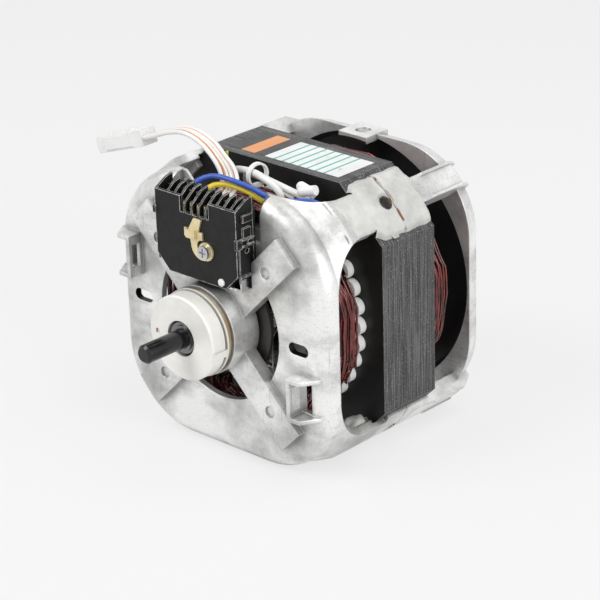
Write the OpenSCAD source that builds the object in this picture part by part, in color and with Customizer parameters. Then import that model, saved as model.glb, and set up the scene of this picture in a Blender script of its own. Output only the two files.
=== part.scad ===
// Split-phase washing machine motor: a laminated stator bonded between two
// cast end bells, with a start switch and its governor at the pump end.
// Axes: the shaft lies along Y, pump end towards -Y, +Z up.
// Origin: on the shaft axis, in the outer face of the front bell's plate.

/* [Stator] */
// Width of the stack across its flats
stack_across = 140; // [130:1:150]
// Length of each flat side of the stack
stack_flat = 87; // [80:1:94]
// Length of the stack along the shaft
stack_len = 38; // [32:1:46]
// Bore of the stator
stator_bore = 80; // [76:0.5:82]
// Depth of a slot from the bore
slot_depth = 17; // [16:0.5:18]
// Width of a tooth
tooth_w = 3.5; // [3:0.1:3.8]
// Width of a slot's mouth at the bore
slot_mouth = 2.4; // [2:0.1:2.8]
// Thickness of the slot liner
liner_t = 0.35; // [0.2:0.05:0.4]
// Reach of a liner's cuff beyond the stack
cuff_reach = 4.2; // [3:0.2:5]
// Radius of a cuff's round end
cuff_r = 4.5; // [4:0.1:4.7]

/* [Windings] */
// Diameter of a main winding strand
main_wire_d = 3.6; // [3:0.1:3.8]
// Diameter of a start winding strand
start_wire_d = 2.8; // [2.2:0.1:3]
// Height of the first main end turn over the stack, front
main_rise_front = 11; // [10:0.5:12]
// Height of the first main end turn over the stack, rear
main_rise_rear = 9; // [8.5:0.5:9.5]
// Step from one main end turn to the next
main_step = 4.2; // [4.1:0.1:4.5]
// Radius that the main end turns flare out to
main_flare_r = 57; // [56:0.5:59]
// Radius that the start end turns draw in to
start_draw_r = 43.6; // [43.4:0.1:43.9]

/* [Front bell] */
// How far the bell's sides stand out past the stack's flats
front_proud = 0; // [-1.5:0.25:1.5]
// Corner radius of the front bell
front_corner_r = 44; // [41:0.5:46]
// Thickness of the plate
plate_t = 3.5; // [3:0.25:5]
// Radius of the rounded edge between plate and skirt
edge_r = 9; // [6:0.5:9]
// Thickness of the skirt
skirt_t = 4.5; // [4:0.25:5]
// Corner radius of the cavity behind the plate
cavity_corner_r = 46; // [44:0.5:50]
// Depth of the skirt
skirt_depth = 10; // [9.5:0.5:11]
// Clear depth between the plate and the stack
front_room = 37.5; // [36:0.5:42]
// Outer radius of the windows
window_r = 40; // [38:0.5:42]
// Width of a spoke
spoke_w = 16.6; // [14:0.2:18]
// Height of a spoke over the plate
spoke_h = 4; // [3:0.25:4.5]
// Reach of a spoke from the axis
spoke_reach = 69; // [62:1:71]
// Distance from slot to slot of the pump mount
pump_slot_spacing = 105.2; // [100:0.2:108]
// Length of a pump mount slot
pump_slot_len = 12.5; // [10:0.5:14]
// Width of a pump mount slot
pump_slot_w = 6; // [5:0.25:7]
// Half width of the notch behind the switch
notch_half_w = 30; // [29:0.5:32]
// Height of the notch's floor over the axis
notch_floor = 47.5; // [46.5:0.5:48.5]

/* [Clip lugs] */
// Distance from the axis to the lug's web
lug_x = 52; // [50:0.5:54]
// Distance from the axis to the lug's near shelf
lug_z = 12; // [11:0.5:13]
// Height of the lug from shelf to shelf, outside
lug_h = 22; // [20:0.5:24]
// Reach of the lug in front of the plate
lug_reach = 9; // [8:0.5:12]
// Width of a shelf at the plate
lug_w = 13.7; // [12:0.5:15]
// Width of a shelf at its front
lug_front_w = 8; // [7:0.5:9]
// Thickness of the shelves and the web
lug_t = 2; // [1.5:0.1:2.4]
// Distance from the lug's ends to the slot in its web
lug_slot_end = 5; // [4:0.25:6]

/* [Legs] */
// Width of a leg between the plate and the stack
leg_w = 21.6; // [19:0.2:24]
// Width of a leg over the stack
leg_seat_w = 29; // [26:0.5:31]
// Width of a rear leg behind the stack
leg_neck_w = 14; // [13:0.5:18]
// Thickness of a leg over the stack's corner
leg_t = 4; // [3.5:0.25:5]
// Length over which a front leg flares out from the skirt
flare_len = 14; // [10:0.5:16]
// Radius of the arch between a leg and the skirt
arch_r = 22; // [16:0.5:24]
// Depth of the ledge that a stack corner seats on
ledge_depth = 3.6; // [3:0.2:5]
// Diameter of the bonding hole in a front leg
bond_hole_d = 7.5; // [6:0.5:9]
// Width of the bonded seam between the legs
seam_w = 0.6; // [0.4:0.1:1]

/* [Rear bell] */
// How far the rim's open edge lies inside the stack's flats
rear_inset = 0.75; // [-0.5:0.25:1]
// Corner radius of the rear bell
rear_corner_r = 42.5; // [40:0.5:46]
// Draft of the rim: how much smaller it is at the rear
rear_draft = 2.5; // [1.5:0.25:3]
// Depth of the rear bell's rim
rim_depth = 9.5; // [9:0.5:12]
// Radius of the rim's rounded outer edge
rear_edge_r = 2; // [1:0.5:3]
// Thickness of the rim's wall at the middle of a side
rim_wall = 1.85; // [1.5:0.05:3]
// Clear depth between the stack and the rear plate
rear_room = 34; // [32:0.5:38]
// Width of a clip pad
pad_w = 18.5; // [16:0.5:22]
// Length of a clip pad along the shaft
pad_len = 16.5; // [14:0.5:18]
// Thickness of a clip pad
pad_t = 3.6; // [3.4:0.1:5]
// How far the clip pads' faces lie inside the stack's flats
pad_inset = 0.5; // [0:0.25:1]
// Diameter of the dimple in a clip pad
pad_dimple_d = 8; // [4:0.5:10]

/* [Hub] */
// Outer radius of the bearing boss
boss_r = 22.7; // [22:0.1:23.5]
// Height of the boss over the plate
boss_h = 12.5; // [12:0.25:14]
// Radius of the boss's oil chamber
chamber_r = 19.2; // [18.5:0.1:19.6]
// Outer radius of the front hub cap
cap_r = 21.6; // [21:0.1:22.4]
// Length of the front hub cap
cap_len = 13.5; // [12:0.5:16]
// Length of the rear hub cap
rear_cap_len = 7; // [6:0.5:10]
// Radius of the hole round the shaft in the caps
cap_hole_r = 9; // [8.8:0.1:9.4]
// Width of the groove round the front hub cap
cap_groove_w = 1; // [0.6:0.1:1.6]
// Depth of the groove round the front hub cap
cap_groove_d = 1.2; // [0.6:0.1:1.5]

/* [Shaft] */
// Diameter of the pump end
pump_end_d = 9.53; // [9:0.01:11]
// Length of the pump end in front of the plate
pump_end_reach = 51; // [48:0.5:56]
// Diameter of the bearing journals
journal_d = 12.7; // [12:0.1:13.4]
// Diameter of the shaft in the rotor
shaft_d = 15.88; // [15.4:0.01:16.4]
// Width across the drive flats at the coupling end
drive_flat_w = 9.5; // [8:0.1:11]
// Length of the coupling end behind the rear cap
drive_len = 21; // [16:0.5:28]
// Radius of a bearing's ball-shaped body
bearing_r = 12; // [11.8:0.1:12.4]
// Length of a bearing
bearing_len = 16; // [15.5:0.25:16.5]

/* [Rotor] */
// Air gap between rotor and stator
air_gap = 0.4; // [0.3:0.05:0.8]
// Width of an end ring
ring_len = 9; // [7:0.5:10]
// Inner radius of an end ring
ring_in_r = 25; // [23:0.5:28]
// Height of the fan blades
blade_h = 8; // [6:0.5:8.5]
// Thickness of a fan blade
blade_t = 2.5; // [2:0.1:3.5]

/* [Governor] */
// Travel of the collar along the shaft
collar_travel = 3.2; // [2.5:0.1:3.3]
// Radius of the collar's thrust flange
collar_flange_r = 29; // [28:0.5:31]
// Thickness of the collar's thrust flange
collar_flange_t = 2; // [1.5:0.1:2.2]
// Radius of the weights' pivots about the shaft
weight_pivot_r = 21; // [20.5:0.25:22]
// Width of a weight
weight_w = 13; // [11:0.5:14]
// Diameter of a weight's pivot pin
weight_pin_d = 3; // [2.5:0.1:3.4]
// Diameter of the governor spring wire
spring_wire_d = 0.8; // [0.7:0.05:0.9]
// Diameter of the governor springs
spring_d = 4.4; // [4:0.1:5]

/* [Switch] */
// Width of the switch
switch_w = 54; // [50:0.5:56]
// Depth of the switch in front of the plate
switch_depth = 13; // [12:0.5:15]
// Height of the switch's floor over the axis
switch_floor = 26.3; // [26:0.1:27]
// Height of the front wall's top over the axis
switch_top = 67; // [65:0.5:70]
// Height of the fins over the front wall at the back
fin_rise = 5; // [3:0.5:6]
// Thickness of the switch's walls
switch_wall = 1.8; // [1.4:0.1:2.2]
// Thickness of a fin
fin_t = 1.2; // [1:0.1:1.5]
// Diameter of the lever's pin
lever_pin_d = 2.4; // [2:0.1:2.8]

/* [Leads] */
// Diameter of a harness wire
harness_d = 2.2; // [1.9:0.1:2.3]
// Diameter of the blue and yellow leads
lead_d = 2.6; // [2.2:0.1:2.8]
// Diameter of the white sleeved leads
sleeve_d = 3.6; // [3:0.1:3.8]
// Length of the plug
plug_len = 34; // [30:0.5:40]
// Height and depth of the plug
plug_w = 10; // [9.5:0.25:12]

/* [Hidden] */
$fn = 64;

// Clearances
slip = 0.05;
seat_gap = 0.1;
part_gap = 0.3;
far = 300;

// Places along the shaft
stack_y0 = plate_t + front_room;
stack_y1 = stack_y0 + stack_len;
rear_in = stack_y1 + rear_room;
rear_out = rear_in + plate_t;
rim_y0 = rear_out - rim_depth;
seam_y = (stack_y0 + stack_y1) / 2;

// Stack and corner geometry: a corner is measured along its diagonal
stack_half = stack_across / 2;
bore_r = stator_bore / 2;
slot_count = 36;
pole_count = 4;
slot_pitch = 360 / slot_count;
slot_r = bore_r + slot_depth;
slot_lip = 1.5;
facet_d = (stack_half + stack_flat / 2) / sqrt(2);
front_half = stack_half + front_proud;
rear_half = stack_half - rear_inset;
rim_cavity_r = rear_half - rim_wall;
pad_z = stack_half - pad_inset;
front_c = front_half - front_corner_r;
rear_c = rear_half - rear_corner_r;
leg_d0 = front_c * sqrt(2);
leg_r = facet_d + leg_t - leg_d0;
leg_out = leg_d0 + leg_r;
foot_r = front_corner_r - part_gap;
flare_y = skirt_depth + flare_len;
diagonals = [45, 135, 225, 315];

// Maps a sketch plane to XZ and its height to Y
module along_y(y = 0) {
    translate([0, y, 0]) rotate([90, 0, 0]) mirror([0, 0, 1]) children();
}

// Outward frames of the two bearing bosses, measured from the plates' outer faces
module front_out() {
    along_y() mirror([0, 0, 1]) children();
}

module rear_out_frame() {
    along_y(rear_out) children();
}

module on_diagonals() {
    for (a = diagonals) along_y() rotate(a) children();
}

module ring(r_out, r_in, len) {
    difference() {
        cylinder(r = r_out, h = len);
        translate([0, 0, -1]) cylinder(r = r_in, h = len + 2);
    }
}

module bar(x, y, z) {
    translate([x[0], y[0], z[0]]) cube([x[1] - x[0], y[1] - y[0], z[1] - z[0]]);
}

module obround(len, w) {
    square([len - w, w], center = true);
    for (s = [-1, 1]) translate([s * (len - w) / 2, 0]) circle(d = w);
}

module rounded_square(half, r) {
    c = half - r;
    square([2 * half, 2 * c], center = true);
    square([2 * c, 2 * half], center = true);
    for (x = [-c, c], y = [-c, c]) translate([x, y]) circle(r = r);
}

// Tubes swept along points
function unit(v) = v / norm(v);
function tangents(p) = [for (i = [0:len(p) - 1]) unit(p[min(i + 1, len(p) - 1)] - p[max(i - 1, 0)])];
function square_to(v, t) = unit(v - (v * t) * t);
function carried(t, side) = [
    for (i = 0, n = square_to(side, t[0]); i < len(t); i = i + 1, n = i < len(t) ? square_to(n, t[i]) : n) n
];

module tube(path, d, side_list, sides) {
    t = tangents(path);
    m = len(path);
    ring_points = [
        for (i = [0:m - 1])
            let (n = square_to(side_list[i], t[i]), b = cross(t[i], n))
                for (j = [0:sides - 1])
                    path[i] + d / 2 * (cos(360 * j / sides) * n + sin(360 * j / sides) * b)
    ];
    walls = [
        for (i = [0:m - 2], j = [0:sides - 1])
            let (a = i * sides + j, b = i * sides + (j + 1) % sides)
                each [[a, a + sides, b + sides], [a, b + sides, b]]
    ];
    last = (m - 1) * sides;
    start_cap = [for (j = [1:sides - 2]) [0, j, j + 1]];
    end_cap = [for (j = [1:sides - 2]) [last, last + j + 1, last + j]];
    polyhedron(ring_points, concat(walls, start_cap, end_cap), convexity = 10);
}

module wire(path, d, side = [0, 1, 0]) {
    tube(path, d, carried(tangents(path), side), 8);
}

// Front bell

// Body of a bell: two crossed slabs and four turned corners that share one rounded edge.
// With a draft it is that much smaller at the rounded edge than at its open side.
module bell_body(half, corner, edge, depth, draft = 0) {
    c = half - corner;
    translate([0, 0, -c]) linear_extrude(2 * c) edge_profile(half, edge, depth, draft);
    rotate([0, 90, 0]) translate([0, 0, -c]) linear_extrude(2 * c) edge_profile(half, edge, depth, draft);
    for (a = [0, 90, 180, 270]) rotate([0, a, 0]) translate([c, 0, -c])
        along_y() rotate(-90) rotate_extrude(angle = 90) corner_profile(corner, edge, depth, draft);
}

module edge_profile(half, edge, depth, draft) {
    for (s = [0, 1]) mirror([s, 0]) corner_profile(half, edge, depth, draft);
}

// Half of a slab's cross-section with its front edge rounded
module corner_profile(half, edge, depth, draft) {
    flat = half - draft - edge;
    polygon([[0, 0], [flat, 0], [flat, edge], [half - draft, edge], [half, depth], [0, depth]]);
    intersection() {
        translate([flat, edge]) circle(r = edge);
        translate([flat, 0]) square(edge);
    }
}

// Outline of a leg unrolled on its diagonal: X runs along the shaft, Y across the leg
module leg_outline(y_end) {
    foot_w = leg_w / 2 + arch_r - 3;
    difference() {
        translate([edge_r, -foot_w]) square([y_end - edge_r, 2 * foot_w]);
        for (s = [0, 1]) mirror([0, s]) arch_cut();
    }
    tongue_w = facet_half - 1.5;
    polygon([
        [stack_y0 + 4, -leg_w / 2], [stack_y0 + 10, -tongue_w],
        [seam_y - 6, -tongue_w], [seam_y - 2, 0]
    ]);
}

facet_half = (stack_half - stack_flat / 2) / sqrt(2);

module arch_cut() {
    low = leg_w / 2;
    seat = stack_y0 + 5;
    translate([skirt_depth + arch_r, low]) square([seat - skirt_depth - arch_r, far]);
    translate([skirt_depth, low + arch_r]) square([arch_r + 1, far]);
    translate([skirt_depth + arch_r, low + arch_r]) circle(r = arch_r);
    translate([seat - 1, leg_seat_w / 2]) square([far, far]);
}

// Cuts a leg's outline through everything on its diagonal
module leg_cutter(y_end) {
    rotate([0, 90, 0]) linear_extrude(far) mirror([1, 0]) leg_outline(y_end);
}

// Shell of a front leg, turned about the corner's own axis: it leaves the skirt and flares
// out to pass over the stack's corner
module leg_shell() {
    y1 = stack_y0 - ledge_depth + 1;
    translate([leg_d0, 0, 0]) rotate(-90) rotate_extrude(angle = 180) polygon([
        [foot_r, edge_r], [foot_r, skirt_depth], [leg_r, flare_y], [leg_r, y1],
        [leg_r - skirt_t, y1], [leg_r - skirt_t, flare_y],
        [foot_r - skirt_t, skirt_depth], [foot_r - skirt_t, edge_r]
    ]);
}

// Stretch of a leg, w wide, that lies outside the distance d_in along the diagonal
module leg_section(d_in, w, y0, y1) {
    translate([0, 0, y0]) linear_extrude(y1 - y0) intersection() {
        translate([leg_d0, 0]) circle(r = leg_r);
        translate([d_in, -w / 2]) square([far, w]);
    }
}

module front_leg() {
    y_end = seam_y - seam_w / 2;
    difference() {
        union() {
            intersection() {
                leg_cutter(y_end);
                union() {
                    leg_shell();
                    leg_section(facet_d + seat_gap, far, stack_y0 - ledge_depth, y_end);
                }
            }
            stack_ledge(stack_y0 - ledge_depth - seat_gap);
        }
        translate([0, 0, seam_y - 4]) rotate([0, 90, 0]) cylinder(d = bond_hole_d, h = far);
    }
}

// Ledge inside a leg that one corner of the stack's face seats on
ledge_in = 5;
module stack_ledge(y) {
    half_w = leg_neck_w / 2;
    bar([facet_d - ledge_in, leg_out - 1], [-half_w, half_w], [y, y + ledge_depth]);
}

module windows() {
    difference() {
        circle(r = window_r);
        circle(r = boss_r - 1);
        for (a = diagonals) rotate(a) translate([0, -spoke_w / 2]) square([window_r + 1, spoke_w]);
    }
}

module spokes() {
    root = boss_r - 3;
    for (a = diagonals) rotate(a) translate([root, -spoke_w / 2]) square([spoke_reach - root, spoke_w]);
}

// Turned inside of a bearing boss, measured outwards from the plate's outer face
boss_in = plate_t + 1;
seat_z = -1;
seat_r = 9.4;
module boss_solid() {
    translate([0, 0, -boss_in]) cylinder(r = boss_r, h = boss_in + boss_h);
}

module boss_hollow() {
    translate([0, 0, -boss_in - 1]) cylinder(r = seat_r, h = far);
    translate([0, 0, seat_z]) cylinder(r = chamber_r, h = far);
}

// Slotted bracket that a spring clip of the pump hooks behind
module clip_lug() {
    z0 = -lug_z - lug_h;
    z1 = z0 + lug_h;
    root = plate_t - 0.5;
    for (z = [z0, z1 - lug_t]) translate([lug_x, 0, z]) linear_extrude(lug_t)
        polygon([[0, root], [0, -lug_reach], [lug_front_w, -lug_reach], [lug_w, 0], [lug_w, root]]);
    difference() {
        bar([lug_x, lug_x + lug_t], [-lug_reach, 1], [z0, z1]);
        bar([lug_x - 1, lug_x + lug_t + 1], [-lug_reach + lug_t, -lug_t],
            [z0 + lug_slot_end, z1 - lug_slot_end]);
    }
}

module clip_lug_hole() {
    z0 = -lug_z - lug_h + lug_t + 0.5;
    z1 = -lug_z - lug_t - 0.5;
    bar([lug_x + lug_t, lug_x + lug_front_w + 0.5], [-1, plate_t + 1], [z0, z1]);
}

module both_lugs() {
    for (a = [0, 180]) rotate([0, a, 0]) children();
}

// Room that the switch takes in front of the plate
module switch_room() {
    bar([-switch_w / 2 - part_gap, switch_w / 2 + part_gap], [-far, 0], [switch_floor - part_gap, far]);
}

dimple_r = 51;
module front_bell() color([0.78, 0.78, 0.77]) difference() {
    union() {
        difference() {
            bell_body(front_half, front_corner_r, edge_r, skirt_depth);
            along_y(plate_t) linear_extrude(skirt_depth)
                rounded_square(front_half - skirt_t, cavity_corner_r);
            along_y(-1) linear_extrude(plate_t + 2) windows();
            along_y(-1) linear_extrude(plate_t + 2)
                for (s = [-1, 1]) translate([s * pump_slot_spacing / 2, 0])
                    obround(pump_slot_len, pump_slot_w);
            both_lugs() clip_lug_hole();
            bar([-notch_half_w, notch_half_w], [-1, skirt_depth + 2], [notch_floor, far]);
        }
        difference() {
            along_y(-spoke_h) linear_extrude(spoke_h + plate_t / 2) spokes();
            switch_room();
        }
        front_out() boss_solid();
        both_lugs() clip_lug();
        on_diagonals() front_leg();
    }
    front_out() boss_hollow();
    on_diagonals() translate([dimple_r, 0, -spoke_h - 1]) cylinder(r = 3, h = 2);
    ground_screw_place() cylinder(d = screw_d, h = far, center = true);
}

// Rear bell

fin_t_rear = 1.5;
fin_proud = 2.2;
module rear_leg() {
    y_start = seam_y + seam_w / 2;
    leg_section(facet_d + seat_gap, leg_seat_w, y_start, stack_y1 - 3);
    leg_section(facet_d + seat_gap, leg_neck_w, y_start, stack_y1 + 1);
    leg_section(facet_d - ledge_in, leg_neck_w, stack_y1 + seat_gap, rim_y0 + 2);
    for (s = [-1, 1]) translate([0, s * (leg_neck_w - fin_t_rear) / 2, 0]) rear_fin();
}

// Thin rib along a rear leg's side that runs on over the rim
module rear_fin() {
    rim_out = rear_c * sqrt(2) + rear_corner_r;
    y0 = stack_y1 + ledge_depth;
    translate([0, fin_t_rear / 2, 0]) rotate([90, 0, 0]) linear_extrude(fin_t_rear) polygon([
        [leg_out - 3, y0], [leg_out + 0.4, y0 + 4], [leg_out + 0.4, rim_y0 + 1],
        [rim_out - rear_draft + fin_proud, rear_out - 0.5], [rim_out - rear_draft - 4, rear_out - 0.5],
        [rim_out - 4, rim_y0 + 0.5], [leg_out - 3, rim_y0 + 0.5]
    ]);
}

module clip_pad() {
    y1 = rear_out - 1;
    difference() {
        bar([-pad_w / 2, pad_w / 2], [y1 - pad_len, y1], [pad_z - pad_t, pad_z]);
        translate([0, y1 - pad_len / 2, pad_z - 1]) cylinder(d = pad_dimple_d, h = 2);
    }
}

module rear_bell() color([0.74, 0.74, 0.73]) difference() {
    union() {
        difference() {
            translate([0, rear_out, 0]) rotate([0, 0, 180])
                bell_body(rear_half, rear_corner_r, rear_edge_r, rim_depth, rear_draft);
            along_y(rim_y0)
                cylinder(r1 = rim_cavity_r, r2 = rim_cavity_r - rear_draft, h = rim_depth - plate_t);
            along_y(rear_in - 1) linear_extrude(plate_t + 2) windows();
        }
        along_y(rear_in + plate_t / 2) linear_extrude(spoke_h / 2 + plate_t / 2) spokes();
        rear_out_frame() boss_solid();
        on_diagonals() rear_leg();
        for (a = [0, 180]) rotate([0, a, 0]) clip_pad();
    }
    rear_out_frame() boss_hollow();
}

// Cured adhesive in the seams between the legs
module leg_bonds() color([0.55, 0.35, 0.15]) on_diagonals() {
    translate([facet_d + seat_gap, -leg_neck_w / 2, seam_y - seam_w / 2])
        cube([leg_t - 1.2, leg_neck_w, seam_w]);
}

// Stator

function slot_half_w(r) = (2 * PI * r / slot_count - tooth_w) / 2;

// Outline of one slot on the +X axis, drawn in by a margin
module slot_shape(margin) {
    neck = bore_r + slot_lip;
    polygon([
        [neck + margin, -slot_half_w(neck) + margin], [slot_r - margin, -slot_half_w(slot_r) + margin],
        [slot_r - margin, slot_half_w(slot_r) - margin], [neck + margin, slot_half_w(neck) - margin]
    ]);
}

module stator_core() color([0.16, 0.16, 0.17]) along_y(stack_y0) linear_extrude(stack_len) difference() {
    intersection() {
        square(stack_across, center = true);
        rotate(45) square(2 * facet_d, center = true);
    }
    circle(r = bore_r);
    for (i = [0:slot_count - 1]) rotate(i * slot_pitch) {
        slot_shape(0);
        translate([bore_r - 1, -slot_mouth / 2]) square([slot_lip + 2, slot_mouth]);
    }
}

module slot_liners() color([0.93, 0.93, 0.9]) for (i = [0:slot_count - 1]) {
    along_y() rotate(i * slot_pitch) slot_liner();
}

module slot_liner() {
    reach = cuff_reach - 0.2;
    difference() {
        union() {
            translate([0, 0, stack_y0 - reach]) linear_extrude(stack_len + 2 * reach) slot_shape(slip);
            for (y = [stack_y0 - cuff_reach, stack_y1 + slip]) translate([slot_r - cuff_r / 2, 0, y])
                cylinder(r = cuff_r, h = cuff_reach - slip);
        }
        translate([0, 0, stack_y0 - cuff_reach - 1]) linear_extrude(stack_len + 2 * cuff_reach + 2) {
            slot_shape(slip + liner_t);
            translate([bore_r - 1, -far / 2]) square([slot_lip + slip + liner_t + 1.2, far]);
        }
        for (y = [stack_y0 - far, stack_y1]) bar([bore_r, slot_r - cuff_r], [-far, far], [y, y + far]);
    }
}

// One pole's coil: loops that pass down one slot and up another, spiralling outwards
arc_rings = 10;
arc_power = 0.7;
function bulge(v, p) = sign(v) * pow(abs(v), p);
function smooth(v) = let (c = max(0, min(1, v))) c * c * (3 - 2 * c);
function polar(angle, r, y) = [r * cos(angle), y, r * sin(angle)];
function mix(a, b, v) = a + (b - a) * v;

// A point of an end turn: v runs from one slot to the other
function turn_point(pole, from, to, v, flare_r, base, out) =
    let (
        half = mix(from[0], to[0], v),
        rise = mix(from[out > 0 ? 3 : 2], to[out > 0 ? 3 : 2], v),
        lift = mix(2, rise, bulge(sin(180 * v), arc_power)),
        r = mix(mix(from[1], to[1], v), flare_r, smooth((lift - rise + 7) / 7)),
        angle = out > 0 ? half * bulge(cos(180 * v), arc_power) : -half * bulge(cos(180 * v), arc_power)
    )
    polar(pole + angle, r, base + out * lift);

// Loops are [half span, radius in the slot, rise at the front, rise at the rear]
function coil_path(pole, loops, flare_r, rings) = [
    for (k = [0:len(loops) - 1])
        let (loop = loops[k], next = loops[min(k + 1, len(loops) - 1)])
            each concat(
                [for (y = [stack_y0 - 2, stack_y1 + 2]) polar(pole + loop[0], loop[1], y)],
                [for (i = [1:rings]) turn_point(pole, loop, loop, i / (rings + 1), flare_r, stack_y1, 1)],
                [for (y = [stack_y1 + 2, stack_y0 - 2]) polar(pole - loop[0], loop[1], y)],
                k < len(loops) - 1
                    ? [for (i = [1:rings])
                        turn_point(pole, loop, next, i / (rings + 1), flare_r, stack_y0, -1)]
                    : []
            )
];

// Least clear distance between stretches of a path that lie further apart along it than skip
function least_gap(p, d, skip) = min([
    for (i = [0:len(p) - 1]) each [for (j = [i + skip:1:len(p) - 1]) norm(p[i] - p[j])]
]) - d;

module coil(pole, loops, flare_r, d) {
    path = coil_path(pole, loops, flare_r, arc_rings);
    tube(path, d, [for (p = path) [p[0], 0, p[2]]], 6);
}

deep_r = slot_r - liner_t - main_wire_d / 2 - 2.2;
shallow_r = deep_r - main_wire_d - 1;
main_slots = [2, 3, 4, 4];
last_rise = 1.2;
main_loops = [
    for (k = [0:3]) [
        main_slots[k] * slot_pitch, k < 3 ? deep_r : shallow_r,
        main_rise_front + k * (main_step + 0.4) + (k < 3 ? 0 : last_rise),
        main_rise_rear + k * main_step + (k < 3 ? 0 : last_rise)
    ]
];
start_deep_r = deep_r - 1.8;
start_loops = [
    for (k = [0:1]) [
        3.5 * slot_pitch, k == 0 ? start_deep_r - start_wire_d - 1.7 : start_deep_r,
        main_rise_front + 2 + 5 * k, main_rise_rear + 1 + 4.5 * k
    ]
];
gap_rings = 4 * arc_rings;
main_gap = least_gap(coil_path(0, main_loops, main_flare_r, gap_rings), main_wire_d, gap_rings);
start_gap = least_gap(coil_path(45, start_loops, start_draw_r, gap_rings), start_wire_d, gap_rings);

module main_winding() color([0.45, 0.07, 0.05]) {
    echo(str("main winding: least gap between its loops ", main_gap, " mm"));
    for (p = [0:pole_count - 1]) coil(p * 90, main_loops, main_flare_r, main_wire_d);
}

module start_winding() color([0.5, 0.12, 0.06]) {
    echo(str("start winding: least gap between its loops ", start_gap, " mm"));
    for (p = [0:pole_count - 1]) coil(45 + p * 90, start_loops, start_draw_r, start_wire_d);
}

// Bearings, drawn outwards from a plate's outer face

ball_z = seat_z + sqrt(pow(bearing_r + slip, 2) - pow(seat_r, 2));
retainer_z = boss_h - 1.3;
retainer_t = 1;
retainer_in_r = sqrt(pow(bearing_r, 2) - pow(retainer_z - ball_z, 2)) + slip;

module sleeve_bearing() color([0.6, 0.42, 0.22]) difference() {
    intersection() {
        translate([0, 0, ball_z]) sphere(r = bearing_r);
        translate([0, 0, ball_z - bearing_len / 2]) cylinder(r = bearing_r, h = bearing_len);
    }
    cylinder(d = journal_d + 2 * slip, h = far, center = true);
}

module oil_felt() color([0.75, 0.68, 0.5]) difference() {
    translate([0, 0, seat_z + seat_gap])
        cylinder(r = chamber_r - seat_gap, h = retainer_z - seat_z - 2 * seat_gap);
    cylinder(r = bearing_r + seat_gap, h = far, center = true);
}

retainer_slots = 8;
module bearing_retainer() color([0.5, 0.5, 0.52]) translate([0, 0, retainer_z]) difference() {
    ring(chamber_r - seat_gap, retainer_in_r, retainer_t);
    for (i = [0:retainer_slots - 1]) rotate(i * 360 / retainer_slots)
        translate([retainer_in_r - 1, -0.6, -1]) cube([4, 1.2, retainer_t + 2]);
}

// Cup that closes the oil chamber, with a spigot that seats on the retainer
cap_wall = 3;
module hub_cap_cup(len) {
    z0 = boss_h + slip;
    difference() {
        union() {
            translate([0, 0, z0]) cylinder(r = cap_r, h = len - 1);
            translate([0, 0, z0 + len - 1]) cylinder(r1 = cap_r, r2 = cap_r - 0.8, h = 1);
            translate([0, 0, retainer_z + retainer_t + slip]) cylinder(r = chamber_r - seat_gap, h = 2);
        }
        translate([0, 0, retainer_z]) cylinder(r = chamber_r - 2.4, h = z0 - retainer_z + len - cap_wall);
        cylinder(r = cap_hole_r, h = far);
    }
}

// Front cap: a channel beside the boss, a rib, a groove and a key on its wall
key_angle = -12;
channel_w = 3;
channel_d = 0.8;
rib_w = 1.2;
rib_h = 0.6;
module front_hub_cap() color([0.8, 0.79, 0.76]) front_out() {
    rib_z = boss_h + channel_w;
    key_r = cap_r - cap_groove_d;
    difference() {
        union() {
            hub_cap_cup(cap_len);
            translate([0, 0, rib_z]) ring(cap_r + rib_h, cap_r - 1, rib_w);
        }
        translate([0, 0, boss_h - 1]) ring(cap_r + 1, cap_r - channel_d, channel_w + 1);
        translate([0, 0, rib_z + rib_w]) ring(cap_r + 1, key_r, cap_groove_w);
    }
    rotate(key_angle) bar([key_r - 1, cap_r + 0.5], [-2, 2], [rib_z, boss_h + cap_len - 0.5]);
}

module rear_hub_cap() color([0.7, 0.7, 0.7]) rear_out_frame() hub_cap_cup(rear_cap_len);

module front_bearing() front_out() sleeve_bearing();
module front_felt() front_out() oil_felt();
module front_retainer() front_out() bearing_retainer();
module rear_bearing() rear_out_frame() sleeve_bearing();
module rear_felt() rear_out_frame() oil_felt();
module rear_retainer() rear_out_frame() bearing_retainer();

// Rotor

rotor_r = bore_r - air_gap;
bar_count = 34;
bar_r = 2.2;
bar_place_r = rotor_r - bar_r - 1.2;
blade_count = 8;
ring_r = rotor_r - 1;

module rotor_bars(r, y0, y1) {
    for (i = [0:bar_count - 1]) rotate(i * 360 / bar_count)
        translate([bar_place_r, 0, y0]) cylinder(r = r, h = y1 - y0, $fn = 24);
}

module rotor_core() color([0.3, 0.3, 0.32]) along_y(stack_y0) difference() {
    cylinder(r = rotor_r, h = stack_len);
    translate([0, 0, -1]) cylinder(d = shaft_d + 2 * slip, h = stack_len + 2);
    rotor_bars(bar_r + slip, -1, stack_len + 1);
}

module rotor_cage() color([0.72, 0.72, 0.72]) along_y(stack_y0) {
    rotor_bars(bar_r, -1, stack_len + 1);
    for (z = [-ring_len, stack_len]) translate([0, 0, z]) ring(ring_r, ring_in_r, ring_len);
    blade_r = ring_r - 1.5;
    for (i = [0:blade_count - 1]) rotate((i + 0.5) * 360 / blade_count) {
        for (z = [-ring_len - blade_h, stack_len + ring_len - 1])
            translate([ring_in_r + 2, -blade_t / 2, z]) cube([blade_r - ring_in_r - 2, blade_t, blade_h + 1]);
    }
}

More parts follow.
